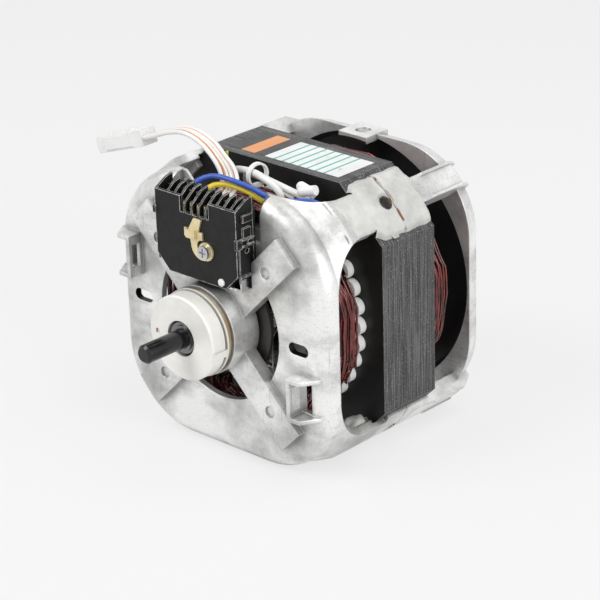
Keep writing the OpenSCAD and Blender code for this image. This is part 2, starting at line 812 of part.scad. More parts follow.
// Shaft: pump end, two journals, a body through the rotor and a flatted coupling end
thrust_t = 2;
shoulder_y0 = -(ball_z - bearing_len / 2) + thrust_t + 2 * part_gap;
shoulder_y1 = rear_out + (ball_z - bearing_len / 2) - thrust_t - 2 * part_gap;
step_y = -(boss_h + cap_len - 3);
slinger_seat_r = pump_end_d / 2 + 0.3;
slinger_len = 3;
seat_y0 = step_y - slinger_len - 0.2;
drive_y0 = rear_out + boss_h + rear_cap_len;
tip_chamfer = 1.2;

module shaft() color([0.08, 0.08, 0.09]) difference() {
    along_y() rotate_extrude() polygon([
        [0, -pump_end_reach], [pump_end_d / 2 - tip_chamfer, -pump_end_reach],
        [pump_end_d / 2, -pump_end_reach + tip_chamfer], [pump_end_d / 2, seat_y0],
        [slinger_seat_r, seat_y0], [slinger_seat_r, step_y],
        [journal_d / 2, step_y], [journal_d / 2, shoulder_y0], [shaft_d / 2, shoulder_y0],
        [shaft_d / 2, shoulder_y1], [journal_d / 2, shoulder_y1],
        [journal_d / 2, drive_y0 + drive_len - tip_chamfer],
        [journal_d / 2 - tip_chamfer, drive_y0 + drive_len], [0, drive_y0 + drive_len]
    ]);
    for (a = [0, 180]) rotate([0, a, 0])
        bar([-far, far], [drive_y0 + 3, far], [drive_flat_w / 2, far]);
}

module thrust_washers() color([0.75, 0.72, 0.6]) {
    for (y = [shoulder_y0 - part_gap - thrust_t, shoulder_y1 + part_gap])
        along_y(y) ring(seat_r - 0.5, journal_d / 2 + slip, thrust_t);
}

slinger_r = cap_hole_r - 1;
module oil_slinger() color([0.4, 0.4, 0.42]) along_y(step_y - slinger_len) {
    ring(slinger_r - 1.4, slinger_seat_r + slip, 1.5);
    translate([0, 0, 1]) ring(slinger_r, slinger_seat_r + slip, slinger_len - 1 - slip);
}

// Governor: weights swing out with speed and draw the collar back from the switch lever

collar_y = boss_in + 1.5;
groove_y = collar_y + 7;
finger_t = 2;
pivot_y = groove_y + 1 + finger_t / 2;
ear_t = 2;
plate_y = pivot_y + 7;
weight_bore = weight_pin_d + 2 * slip;
collar_r = 11;
rear_flange_r = 13.5;
finger_r = collar_r + 0.8;
spring_x = weight_w / 2 + ear_t + 9.5;
spring_y = pivot_y + 5;
spring_z = weight_pivot_r + 5;
lug_rod_d = 2.4;
governor_plate_r = spring_x - spring_d / 2 + 0.7;

module governor_collar() color([0.85, 0.82, 0.7]) along_y(collar_y) difference() {
    union() {
        cylinder(r = collar_flange_r, h = collar_flange_t);
        cylinder(r = collar_r, h = groove_y - collar_y + finger_t + 3.6);
        translate([0, 0, groove_y - collar_y - 2]) cylinder(r = rear_flange_r, h = 2);
        translate([0, 0, groove_y - collar_y + finger_t + 2]) cylinder(r = rear_flange_r, h = 1.6);
    }
    cylinder(d = shaft_d + 2 * slip, h = far, center = true);
}

module governor_ears() {
    x0 = weight_w / 2 + part_gap;
    for (s = [-1, 1], m = [0, 1]) mirror([0, 0, m]) difference() {
        union() {
            bar([s * (x0 + ear_t / 2) - ear_t / 2, s * (x0 + ear_t / 2) + ear_t / 2],
                [pivot_y, plate_y + 2], [rear_flange_r + part_gap, weight_pivot_r + weight_pin_d]);
            translate([s * (x0 + ear_t / 2), pivot_y, weight_pivot_r]) rotate([0, 90, 0])
                cylinder(r = weight_pin_d, h = ear_t, center = true);
        }
        translate([0, pivot_y, weight_pivot_r]) rotate([0, 90, 0])
            cylinder(d = weight_pin_d + slip, h = far, center = true);
    }
}

module governor_plate() color([0.62, 0.6, 0.5]) difference() {
    union() {
        along_y(plate_y) cylinder(r = governor_plate_r, h = 2);
        along_y(plate_y) cylinder(r = collar_r + 1, h = stack_y0 - plate_y - slip);
        tab_w = weight_w / 2 + part_gap + ear_t;
        for (m = [0, 1]) mirror([0, 0, m])
            bar([-tab_w, tab_w], [plate_y, plate_y + 2], [collar_r, weight_pivot_r - 1]);
        governor_ears();
    }
    along_y(-far) cylinder(d = shaft_d + 2 * slip, h = 2 * far);
}

module governor_pins() color([0.6, 0.6, 0.62]) for (m = [0, 1]) mirror([0, 0, m])
    translate([0, pivot_y, weight_pivot_r]) rotate([0, 90, 0])
        cylinder(d = weight_pin_d, h = weight_w + 2 * ear_t + 3 * part_gap, center = true);

// Bell-crank weight above the shaft: mass towards the rotor, finger in the collar's groove
module governor_weight() {
    difference() {
        union() {
            translate([0, pivot_y, weight_pivot_r]) rotate([0, 90, 0])
                cylinder(r = weight_pin_d, h = weight_w, center = true);
            bar([-weight_w / 2, weight_w / 2], [pivot_y - finger_t / 2, pivot_y + finger_t / 2],
                [finger_r, weight_pivot_r]);
            bar([-weight_w / 2, weight_w / 2], [pivot_y, pivot_y + 13],
                [weight_pivot_r + 1.6, weight_pivot_r + 7]);
        }
        translate([0, pivot_y, weight_pivot_r]) rotate([0, 90, 0])
            cylinder(d = weight_bore, h = far, center = true);
        along_y(-far) cylinder(r = finger_r, h = 2 * far);
    }
    for (s = [-1, 1]) translate([s * (weight_w / 2 - 1), spring_y, spring_z]) rotate([0, s * 90, 0])
        cylinder(d = lug_rod_d, h = spring_x + spring_d / 2 - weight_w / 2 + 1);
}

module governor_weight_top() color([0.5, 0.48, 0.42]) governor_weight();
module governor_weight_bottom() color([0.5, 0.48, 0.42]) mirror([0, 0, 1]) governor_weight();

// Tension springs across the two weights, hooked over the lug rods
spring_turns = 6;
spring_pitch = 1.6;
curl_rings = 8;
hook_r = lug_rod_d / 2 + part_gap + spring_wire_d / 2;
curl_r = (spring_d - spring_wire_d) / 2;
function spring_half() = [
    for (i = [0:curl_rings * spring_turns / 2])
        let (a = 360 * i / curl_rings)
            [curl_r * cos(a), curl_r * sin(a), spring_pitch * i / curl_rings]
];
function spring_path() =
    let (
        top = concat(spring_half(), [[0.4, hook_r * 0.5, 8]], [[0, hook_r, 12], [0, hook_r, spring_z - 4]],
            [for (a = [0, 60, 120, 180]) [0, hook_r * cos(a), spring_z + hook_r * sin(a)]]),
        bottom = [for (i = [len(top) - 1:-1:1]) [top[i][0], -top[i][1], -top[i][2]]]
    )
    concat(bottom, top);
spring_gap = least_gap(spring_path(), spring_wire_d, 5);

module governor_springs() color([0.55, 0.55, 0.56]) {
    echo(str("governor springs: least gap between curls ", spring_gap, " mm"));
    path = spring_path();
    for (s = [-1, 1]) translate([s * spring_x, spring_y, 0])
        tube(path, spring_wire_d, carried(tangents(path), [1, 0, 0]), 6);
}

// Start switch

lever_x = [-9.5, -3];
lever_pivot_y = -6;
lever_pivot_z = 46;
lever_room = 1;
fin_count = 10;
fin_drop = 1.6;
fin_floor = switch_top - 15;
back_t = 1.5;
switch_half = switch_w / 2;
chamfer_w = 8;
screw_d = 4;
screw_x = 7.3;
screw_z = 42.8;
notch_x = [-10, 9];
notch_depth = 8;

module ground_screw_place() {
    translate([screw_x, 0, screw_z]) rotate([90, 0, 0]) children();
}

// Front outline of the switch with its lower corners cut off
module switch_outline(margin) {
    polygon([
        [-switch_half + margin, switch_top], [switch_half - margin, switch_top],
        [switch_half - margin, switch_floor + chamfer_w + margin * 0.4],
        [switch_half - chamfer_w - margin * 0.4, switch_floor + margin],
        [-switch_half + chamfer_w + margin * 0.4, switch_floor + margin],
        [-switch_half + margin, switch_floor + chamfer_w + margin * 0.4]
    ]);
}

// Slanted side of a fin: low at the front wall, high at the back
module fin_side(drop) {
    polygon([
        [-switch_depth, fin_floor - 1], [-switch_depth, switch_top - 2 * drop],
        [-switch_depth * 0.45, switch_top + fin_rise - 1 - drop],
        [-back_t - slip, switch_top + fin_rise - drop], [-back_t - slip, fin_floor - 1]
    ]);
}

module fin(x, t, drop) {
    translate([x - t / 2, 0, 0]) rotate([90, 0, 90]) linear_extrude(t) fin_side(drop);
}

fin_pitch = (switch_w - 2 * fin_t) / (fin_count + 1);
function bay_x(i) = -switch_half + fin_t + (i + 0.5) * fin_pitch;

module switch_housing() color([0.09, 0.09, 0.1]) difference() {
    union() {
        difference() {
            along_y(-switch_depth) linear_extrude(switch_depth - back_t - slip) switch_outline(0);
            along_y(-switch_depth + switch_wall) linear_extrude(switch_depth) intersection() {
                switch_outline(switch_wall);
                translate([-far / 2, 0]) square([far, fin_floor - switch_wall]);
            }
            bar([-switch_half + fin_t, switch_half - fin_t],
                [-switch_depth + switch_wall, 0], [fin_floor, far]);
            bar(notch_x, [-switch_depth - 1, -switch_depth + switch_wall + 1],
                [switch_top - notch_depth, far]);
        }
        for (i = [0:fin_count - 1]) fin(bay_x(i) + fin_pitch / 2, fin_t, fin_drop);
        for (s = [-1, 1]) {
            fin(s * (switch_half - fin_t / 2), fin_t, 0);
            bar([s * switch_half - 1, s * switch_half + 1], [-switch_depth + 4, -4],
                [switch_top - 14, switch_top - 9]);
        }
        for (x = [lever_x[0] - lever_room - 2.5, lever_x[1] + lever_room])
            bar([x, x + 2.5], [-switch_depth + 1, lever_pivot_y + 3], [lever_pivot_z - 3, lever_pivot_z + 3]);
        ground_screw_place() translate([0, 0, back_t + slip])
            cylinder(d = screw_d + 4, h = switch_depth - back_t - slip - 1);
    }
    ground_screw_place() cylinder(d = screw_d + part_gap, h = far, center = true);
    translate([0, lever_pivot_y, lever_pivot_z]) rotate([0, 90, 0])
        cylinder(d = lever_pin_d + slip, h = far, center = true);
}

module switch_back() color([0.12, 0.12, 0.13]) difference() {
    along_y(-back_t) linear_extrude(back_t) difference() {
        switch_outline(slip);
        translate([lever_x[0] - lever_room, 0])
            square([lever_x[1] - lever_x[0] + 2 * lever_room, lever_pivot_z]);
    }
    ground_screw_place() cylinder(d = screw_d + part_gap, h = far, center = true);
}

// Lever that the collar's flange holds forward at rest
lever_foot_z = boss_r + 1;
lever_arm_z = switch_floor + switch_wall + 1.2;
lever_tip_y = collar_y - part_gap;
module switch_lever() color([0.78, 0.74, 0.6]) difference() {
    union() {
        translate([lever_x[0], 0, 0]) rotate([90, 0, 90]) linear_extrude(lever_x[1] - lever_x[0]) {
            translate([lever_pivot_y, lever_pivot_z]) circle(r = lever_pin_d);
            translate([lever_pivot_y - 1.5, lever_arm_z + 1.5])
                square([3, lever_pivot_z - lever_arm_z - 1.5]);
            polygon([
                [lever_pivot_y - 1.5, lever_arm_z + 1.5], [lever_pivot_y - 0.5, lever_arm_z],
                [0.8, lever_arm_z], [lever_tip_y - 3, lever_foot_z], [lever_tip_y, lever_foot_z],
                [lever_tip_y, lever_foot_z + 3.5], [1.5, lever_arm_z + 4],
                [lever_pivot_y + 1.5, lever_arm_z + 5]
            ]);
        }
    }
    translate([0, lever_pivot_y, lever_pivot_z]) rotate([0, 90, 0])
        cylinder(d = lever_pin_d + 2 * slip, h = far, center = true);
}

module switch_lever_pin() color([0.6, 0.6, 0.62])
    translate([lever_x[0] - lever_room - 2, lever_pivot_y, lever_pivot_z]) rotate([0, 90, 0])
        cylinder(d = lever_pin_d, h = lever_x[1] - lever_x[0] + 2 * lever_room + 4);

// Fixed contact strips on the housing's front wall
module switch_contacts() color([0.72, 0.5, 0.25]) for (x = [-20, 14]) {
    y = -switch_depth + switch_wall;
    bar([x, x + 6], [y, y + 0.8], [switch_floor + 6, fin_floor - switch_wall - 1]);
    translate([x + 3, y + 0.8, switch_floor + 12]) rotate([-90, 0, 0]) cylinder(r = 2.2, h = 1.4);
}

blade_bays = [0, 2, 3, 4, 6, 8, 10];
module terminal_blades() color([0.8, 0.8, 0.8]) for (i = blade_bays)
    bar([bay_x(i) - 0.4, bay_x(i) + 0.4], [-switch_depth * 0.5, -back_t - 0.5], [fin_floor, switch_top + 1]);

socket_bays = [0, 1, 2, 3, 4, 5, 6];
socket_r = 1.6;
socket_len = switch_top - 3 - fin_floor;
module terminal_sockets() color([0.65, 0.5, 0.22]) for (i = socket_bays)
    translate([bay_x(i), -switch_depth + switch_wall + socket_r + slip, fin_floor]) difference() {
        cylinder(r = socket_r, h = socket_len);
        translate([0, 0, 2]) cylinder(r = socket_r - 0.6, h = socket_len);
    }

// Flat ground strap from the terminals to the screw
clip_t = 1;
module ground_clip() color([0.86, 0.8, 0.6]) along_y(-switch_depth - clip_t - slip) {
    linear_extrude(clip_t) difference() {
        union() {
            translate([screw_x, screw_z]) circle(r = screw_d + 0.6);
            difference() {
                translate([screw_x - 2.6, screw_z + 2]) circle(r = 7);
                translate([screw_x - 2.6, screw_z + 2]) circle(r = 3);
                translate([screw_x - 2, screw_z]) square(20);
            }
            polygon([
                [screw_x - 9.6, screw_z + 2], [screw_x - 5.6, screw_z + 2], [screw_x - 4.5, screw_z + 9],
                [screw_x - 2.5, screw_z + 15.4], [screw_x - 7.5, screw_z + 15.4],
                [screw_x - 11, screw_z + 9.5]
            ]);
            translate([screw_x - 14, screw_z + 5]) square([9.5, 4.4]);
        }
        translate([screw_x, screw_z]) circle(d = screw_d + part_gap);
    }
    translate([screw_x - 12, screw_z + 5, -1.2]) linear_extrude(1.3) square([6, 4.4]);
}

// Screw that holds the strap and the switch on the plate
module ground_screw() color([0.75, 0.75, 0.76]) ground_screw_place() {
    translate([0, 0, -plate_t - 1]) cylinder(d = screw_d - slip, h = switch_depth + clip_t + plate_t + 1.2);
    translate([0, 0, switch_depth + clip_t + 2 * slip]) difference() {
        cylinder(r = screw_d * 0.85, h = 2.2);
        for (a = [0, 90]) rotate(a) translate([-2.2, -0.4, 1.2]) cube([4.4, 0.8, 2]);
    }
}

rivet_x = 16.4;
module switch_rivet() color([0.9, 0.9, 0.88])
    translate([rivet_x, -switch_depth - slip, switch_floor + 3]) rotate([90, 0, 0]) {
        cylinder(r = 1.9, h = 0.8);
        translate([0, 0, 0.8]) cylinder(r1 = 1.9, r2 = 1.1, h = 0.5);
    }

// Bent spring clip at the switch's lower corner
module switch_clip() color([0.8, 0.8, 0.8]) translate([switch_half - chamfer_w - 2, 0, switch_floor]) {
    y1 = -spoke_h - part_gap;
    bar([0.5, 8.5], [-9, y1], [-1.1, -0.1]);
    bar([7.5, 8.5], [-9, y1], [-0.6, 5]);
    bar([0.5, 3], [-9.6, -8.6], [-1.1, -0.1]);
}

// Leads that the motor holds: routes chosen by hand. What lies on the main end turns moves
// out with their flare.
drawn_flare_r = 57;
function on_flare(p) = p + (main_flare_r - drawn_flare_r) * unit([p[0], 0, p[2]]);
function route_on_flare(route) = [for (p = route) on_flare(p)];

blue_route = [
    [-11, -1, 70], [-9, 2, 71.5], [-5, 4, 73], [0, 5, 73.5], [6, 6, 73], [12, 8, 71.5], [18, 10, 69.5],
    [24, 12, 67], [30, 15, 65.5], [36, 19, 65.5], [41, 23, 65.5], [45, 26, 63.5], [46, 28, 59],
    [44, 29, 54], [41, 29, 49]
];
yellow_route = [
    [-4, -1, 68], [-2, 3, 69.5], [3, 6, 70], [9, 8, 69], [15, 10, 67], [20, 12, 64], [25, 15, 62],
    [30, 19, 61.5], [35, 22, 62], [39, 25, 61], [41, 27, 57], [40, 28, 52], [37, 28, 47]
];
white_route = route_on_flare([
    [-14, 30.4, 57.4], [-14, 28, 62], [-12, 25, 67], [-7, 23, 70.5], [0, 22, 72], [7, 21, 72.5], [13, 20, 72],
    [19, 20, 70], [23, 21, 66.5], [23, 22, 63], [19, 23.5, 60.8], [14, 25.5, 60], [9, 27, 59.5]
]);
white_loop_route = route_on_flare([
    [-8, 33, 57], [-8, 31, 62], [-6, 29, 66], [-1, 27, 68.5], [6, 26, 69], [13, 26, 68], [19, 27, 66.5],
    [25, 28, 65], [31, 29, 63.5], [35, 30, 60], [36, 31, 55], [34, 32, 50]
]);
green_route = route_on_flare([
    [-20, 28, 54.8], [-20, 28, 60], [-19.5, 28, 64], [-19, 28, 68], [-18.5, 28, 72], [-18, 28, 76]
]);

module blue_lead() color([0.25, 0.3, 0.75]) wire(blue_route, lead_d);
module yellow_lead() color([0.85, 0.75, 0.15]) wire(yellow_route, lead_d);
module white_lead() color([0.92, 0.92, 0.9]) wire(white_route, sleeve_d);
module white_loop_lead() color([0.92, 0.92, 0.9]) wire(white_loop_route, sleeve_d);
module green_lead() color([0.7, 0.8, 0.25]) wire(green_route, lead_d * 0.6);

// Insulating caps over the splices beside the white leads
module splice_caps() color([0.93, 0.93, 0.92]) {
    for (p = [[27, 32.3, 66.9, 20], [33, 26.4, 67.4, -15]])
        translate(on_flare([p[0], p[1], p[2]])) rotate([0, 90 + p[3], 10]) {
            cylinder(d = 5, h = 8);
            sphere(d = 5);
        }
}

// Nylon tie round the white leads
tie_r = 5.6;
module lead_tie() color([0.94, 0.94, 0.93]) translate(on_flare([6.5, 23.5, 70.8])) rotate([0, 90, -8])
    rotate_extrude() translate([tie_r, 0]) square([1, 2.4], center = true);

// Free harness: four wires side by side from the switch to the plug
harness_route = [
    [2, 0, 64], [2, 4, 64.5], [2, 8, 67], [0, 11, 71], [-3, 12, 75.5], [-7, 12, 79.5], [-11, 12, 83],
    [-15, 12, 85.5], [-20, 12, 87.5], [-25, 12, 88.5], [-30, 12, 88.5], [-35, 12, 87.5], [-40, 12, 86],
    [-45, 12, 84], [-50, 12, 82], [-56, 12, 80]
];
wire_step = harness_d + 0.25;
plug_tilt = 18.4;

// The row of wires turns from lying along X at the switch to lying along Y
function row_turn(k) = 90 * min(1, k / 5);

module harness_wire(i) {
    wire([
        for (k = [0:len(harness_route) - 1])
            harness_route[k] + [0, slip, 0] + (i - 1.5) * wire_step * [cos(row_turn(k)), sin(row_turn(k)), 0]
    ], harness_d);
}

module harness_black() color([0.85, 0.85, 0.85]) harness_wire(0);
module harness_orange() color([0.9, 0.6, 0.4]) harness_wire(1);
module harness_pink() color([0.95, 0.8, 0.75]) harness_wire(2);
module harness_white() color([0.93, 0.93, 0.92]) harness_wire(3);

// Nylon plug in line with the end of the harness
module harness_plug() color([0.95, 0.95, 0.93])
    translate(harness_route[len(harness_route) - 1]) rotate([0, 180 - plug_tilt, 0]) {
        bar([slip, plug_len], [-plug_w / 2, plug_w / 2], [-plug_w / 2 + 1, plug_w / 2 - 1]);
        bar([plug_len * 0.22, plug_len - 6], [-plug_w / 2 - 0.8, plug_w / 2 + 0.8],
            [-plug_w / 2 + 2, plug_w / 2 - 2]);
        bar([plug_len * 0.28, plug_len * 0.67], [-2.5, 2.5], [-plug_w / 2 - 0.4, -plug_w / 2 + 2]);
    }

front_bell();
rear_bell();
leg_bonds();
stator_core();
slot_liners();
main_winding();
start_winding();
front_bearing();
front_felt();
front_retainer();
front_hub_cap();
rear_bearing();
rear_felt();
rear_retainer();
rear_hub_cap();
rotor_core();
rotor_cage();
shaft();
thrust_washers();
oil_slinger();
governor_plate();
governor_pins();
governor_springs();
governor_collar();
governor_weight_top();
governor_weight_bottom();
switch_housing();
switch_back();
switch_lever();
switch_lever_pin();
switch_contacts();
terminal_blades();
terminal_sockets();
ground_clip();
ground_screw();
switch_rivet();
switch_clip();
blue_lead();
yellow_lead();
white_lead();
white_loop_lead();
green_lead();
splice_caps();
lead_tie();
harness_black();
harness_orange();
harness_pink();
harness_white();
harness_plug();
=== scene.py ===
"""Looks of the washing machine motor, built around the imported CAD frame. Lengths are in
millimetres in the tables below and in metres in Blender."""
from collections import namedtuple
import itertools
import math
import random

import bpy
from mathutils import Matrix, Vector, noise


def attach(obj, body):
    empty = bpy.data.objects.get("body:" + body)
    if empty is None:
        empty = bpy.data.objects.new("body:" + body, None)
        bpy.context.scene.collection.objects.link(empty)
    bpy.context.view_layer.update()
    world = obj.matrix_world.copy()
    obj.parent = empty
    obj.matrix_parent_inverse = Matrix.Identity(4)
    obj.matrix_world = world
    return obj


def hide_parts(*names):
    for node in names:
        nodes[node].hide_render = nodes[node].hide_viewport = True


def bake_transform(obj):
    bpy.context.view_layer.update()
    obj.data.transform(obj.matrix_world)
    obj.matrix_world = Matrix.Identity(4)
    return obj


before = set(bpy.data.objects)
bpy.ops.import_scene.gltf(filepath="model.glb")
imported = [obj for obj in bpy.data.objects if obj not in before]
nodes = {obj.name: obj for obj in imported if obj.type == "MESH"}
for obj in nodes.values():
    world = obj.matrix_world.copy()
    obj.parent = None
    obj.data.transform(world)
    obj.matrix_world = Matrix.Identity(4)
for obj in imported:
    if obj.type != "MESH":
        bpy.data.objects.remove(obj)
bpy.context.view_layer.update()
scene = bpy.context.scene
scene.view_settings.view_transform = "Standard"

MM = 0.001
HOUSING = "motor_body"
SQUARE = ((-1, -1), (1, -1), (1, 1), (-1, 1))

# Camera at the photograph's angle, for a 600 x 600 image, placed in metres

CAMERA_AT = Vector((0.7692, -0.7503, 0.4667))
RIGHT = Vector((0.7319, 0.6808, -0.0278)).normalized()
BACK = Vector((0.6347, -0.6664, 0.3912)).normalized()
UP = BACK.cross(RIGHT).normalized()
LENS, SENSOR = 144.65, 36


def make_camera():
    data = bpy.data.cameras.new("camera")
    data.lens = LENS
    data.sensor_width = SENSOR
    cam = bpy.data.objects.new("camera", data)
    side = UP.cross(BACK)
    turn = Matrix((side, UP, BACK)).transposed().to_4x4()
    cam.matrix_world = Matrix.Translation(CAMERA_AT) @ turn
    scene.collection.objects.link(cam)
    scene.camera = cam


make_camera()

# Material building blocks


class Look:
    """A material whose nodes are added one call at a time."""

    def __init__(self, name, metallic=0.0, **sockets):
        self.mat = bpy.data.materials.new(name)
        self.mat.use_nodes = True
        self.tree = self.mat.node_tree
        self.bsdf = self.tree.nodes["Principled BSDF"]
        self.bsdf.inputs["Metallic"].default_value = metallic
        for key, value in sockets.items():
            self.bsdf.inputs[key.replace("_", " ")].default_value = value
        self.coords = self.node("ShaderNodeTexCoord").outputs["Object"]
        self.normal = None

    def node(self, kind, **props):
        n = self.tree.nodes.new(kind)
        for key, value in props.items():
            setattr(n, key, value)
        return n

    def put(self, socket, value):
        """Links a node's output to a socket, or sets the socket to a colour or number."""
        if isinstance(value, bpy.types.NodeSocket):
            self.tree.links.new(value, socket)
        elif isinstance(value, tuple) and len(value) == 3:
            socket.default_value = (*value, 1)
        else:
            socket.default_value = value

    def noise(self, scale, detail, rough, at=None):
        n = self.node("ShaderNodeTexNoise")
        self.put(n.inputs["Vector"], at or self.coords)
        n.inputs["Scale"].default_value = scale
        n.inputs["Detail"].default_value = detail
        n.inputs["Roughness"].default_value = rough
        return n.outputs["Fac"]

    def stretched(self, x, y, z):
        """Coordinates with a scale of their own along each axis."""
        n = self.node("ShaderNodeMapping")
        self.put(n.inputs["Vector"], self.coords)
        n.inputs["Scale"].default_value = (x, y, z)
        return n.outputs["Vector"]

    def wave(self, scale, kind, distort):
        """Bands along the shaft, or rings round it."""
        n = self.node("ShaderNodeTexWave", wave_type=kind, bands_direction="Y", rings_direction="Y")
        self.put(n.inputs["Vector"], self.coords)
        n.inputs["Scale"].default_value = scale
        n.inputs["Distortion"].default_value = distort
        n.inputs["Detail"].default_value = 2
        return n.outputs["Fac"]

    def axis(self, which):
        n = self.node("ShaderNodeSeparateXYZ")
        self.put(n.inputs[0], self.coords)
        return n.outputs[which]

    def facing(self, which):
        """A component of the flat face's normal."""
        n = self.node("ShaderNodeSeparateXYZ")
        self.put(n.inputs[0], self.node("ShaderNodeNewGeometry").outputs["True Normal"])
        return n.outputs[which]

    def span(self, value, lo, hi, a=0.0, b=1.0):
        """Maps lo to a and hi to b, and holds those ends."""
        n = self.node("ShaderNodeMapRange")
        self.put(n.inputs["Value"], value)
        for key, v in zip(("From Min", "From Max", "To Min", "To Max"), (lo, hi, a, b)):
            n.inputs[key].default_value = v
        return n.outputs["Result"]

    def math(self, op, a, b=0.0):
        n = self.node("ShaderNodeMath", operation=op)
        self.put(n.inputs[0], a)
        self.put(n.inputs[1], b)
        return n.outputs[0]

    def mix(self, fac, a, b):
        n = self.node("ShaderNodeMix", data_type="RGBA")
        self.put(n.inputs["Factor"], fac)
        self.put(n.inputs[6], a)
        self.put(n.inputs[7], b)
        return n.outputs[2]

    def colour(self, value):
        self.put(self.bsdf.inputs["Base Color"], value)

    def rough(self, value):
        self.put(self.bsdf.inputs["Roughness"], value)

    def edge_wear_and_highlight(self, radius, lo=0.03, hi=0.2):
        """Near 1 along sharp edges, where the rounded normal leaves the true one: the mask for pale edges,
        partly wear and partly painted highlight.
        """
        bevel = self.node("ShaderNodeBevel", samples=6)
        bevel.inputs["Radius"].default_value = radius * MM
        dot = self.node("ShaderNodeVectorMath", operation="DOT_PRODUCT")
        self.put(dot.inputs[0], bevel.outputs["Normal"])
        self.put(dot.inputs[1], self.node("ShaderNodeNewGeometry").outputs["True Normal"])
        return self.span(self.math("SUBTRACT", 1.0, dot.outputs["Value"]), lo, hi)

    def near(self, point, inner, outer):
        """1 within the inner distance of a point in millimetres, 0 past the outer one."""
        n = self.node("ShaderNodeVectorMath", operation="DISTANCE")
        self.put(n.inputs[0], self.coords)
        n.inputs[1].default_value = Vector(point) * MM
        return self.span(n.outputs["Value"], inner * MM, outer * MM, 1.0, 0.0)

    def hollow_shade(self, reach):
        """Near 1 in hollows and inner corners, where painted shade goes."""
        n = self.node("ShaderNodeAmbientOcclusion", samples=6)
        n.inputs["Distance"].default_value = reach * MM
        return self.span(n.outputs["AO"], 0.35, 0.95, 1.0, 0.0)

    def inside(self, radius):
        """1 on faces within the radius that look at the shaft's axis or to the front."""
        flat = self.node("ShaderNodeVectorMath", operation="MULTIPLY")
        self.put(flat.inputs[0], self.coords)
        flat.inputs[1].default_value = (1, 0, 1)
        size = self.node("ShaderNodeVectorMath", operation="LENGTH")
        self.put(size.inputs[0], flat.outputs[0])
        normal = self.node("ShaderNodeNewGeometry").outputs["True Normal"]
        inward = self.node("ShaderNodeVectorMath", operation="DOT_PRODUCT")
        self.put(inward.inputs[0], flat.outputs[0])
        self.put(inward.inputs[1], normal)
        looks = self.math("MAXIMUM", self.math("LESS_THAN", self.facing(1), -0.7),
                          self.math("LESS_THAN", inward.outputs["Value"], -0.02))
        return self.math("MULTIPLY", looks, self.math("LESS_THAN", size.outputs["Value"], radius * MM))

    def soft_edges(self, radius):
        """Shades sharp edges as if they were rounded."""
        n = self.node("ShaderNodeBevel", samples=4)
        n.inputs["Radius"].default_value = radius * MM
        self.normal = n.outputs["Normal"]
        self.put(self.bsdf.inputs["Normal"], self.normal)

    def bump(self, height, depth, strength):
        n = self.node("ShaderNodeBump")
        self.put(n.inputs["Height"], height)
        n.inputs["Distance"].default_value = depth * MM
        n.inputs["Strength"].default_value = strength
        if self.normal is not None:
            self.put(n.inputs["Normal"], self.normal)
        self.normal = n.outputs["Normal"]
        self.put(self.bsdf.inputs["Normal"], self.normal)


PUMP_SLOTS, PUMP_SLOT_R = ((-52.6, 2, 0), (52.6, 2, 0)), (8, 9)


def cast_metal(name, pale, dark, stain, edges, dark_coat_and_shade_r=None, slots=()):
    """As-cast aluminium: grey mottling, smears and scratches, a few amber stains. Within a given radius,
    the faces that look at the axis or the stack are black: partly a dark oily coat, partly painted shade.
    The walls of the slots at the given points are black: painted shade with some oil grime."""
    k = Look(name, metallic=0.7)
    cloud = k.noise(26, 6, 0.6)
    base = k.mix(k.span(cloud, 0.36, 0.58), dark, pale)
    smear = k.noise(1, 6, 0.66, at=k.stretched(18, 26, 44))
    base = k.mix(k.span(smear, 0.5, 0.7, 0.0, 0.62), base, (0.27, 0.27, 0.265))
    for lines in ((40, 60, 1300), (900, 90, 30)):
        scratch = k.noise(1, 3, 0.6, at=k.stretched(*lines))
        base = k.mix(k.span(scratch, 0.65, 0.75, 0.0, 0.45), base, (0.25, 0.25, 0.25))
    base = k.mix(k.span(k.noise(48, 2, 0.5), 0.74, 0.78, 0.0, 0.5), base, stain)
    base = k.mix(k.span(k.noise(900, 2, 0.5), 0.58, 0.75, 0.0, 0.3), base, (0.15, 0.15, 0.15))
    # painted shade: darker in hollows and inner corners
    base = k.mix(k.math("MULTIPLY", k.hollow_shade(6), 0.75), base, (0.1, 0.1, 0.1))
    # pale sharp edges: partly worn metal, partly a painted highlight
    base = k.mix(k.math("MULTIPLY", k.edge_wear_and_highlight(0.7), 0.55), base, (0.95, 0.95, 0.94))
    k.rough(k.span(cloud, 0.3, 0.7, 0.48, 0.3))
    # painted shade with some oil grime: the slot walls near black
    for point in slots:
        wall = k.math("LESS_THAN", k.math("ABSOLUTE", k.facing(1)), 0.5)
        base = k.mix(k.math("MULTIPLY", wall, k.near(point, *PUMP_SLOT_R)), base, (0.015, 0.015, 0.015))
    # partly a dark oily coat, partly painted shade: the bell's inside faces black and not metallic
    if dark_coat_and_shade_r:
        inside = k.inside(dark_coat_and_shade_r)
        base = k.mix(inside, base, (0.012, 0.012, 0.012))
        k.put(k.bsdf.inputs["Metallic"], k.span(inside, 0.0, 1.0, 0.7, 0.0))
    k.colour(base)
    k.soft_edges(edges)
    k.bump(k.noise(650, 4, 0.6), 0.09, 0.7)
    return k.mat


HUB_CHANNEL_Y = (-15.9, -15.4)
PAINT_DOT, PAINT_DOT_R = (-16, -26, 0), (1.0, 1.5)


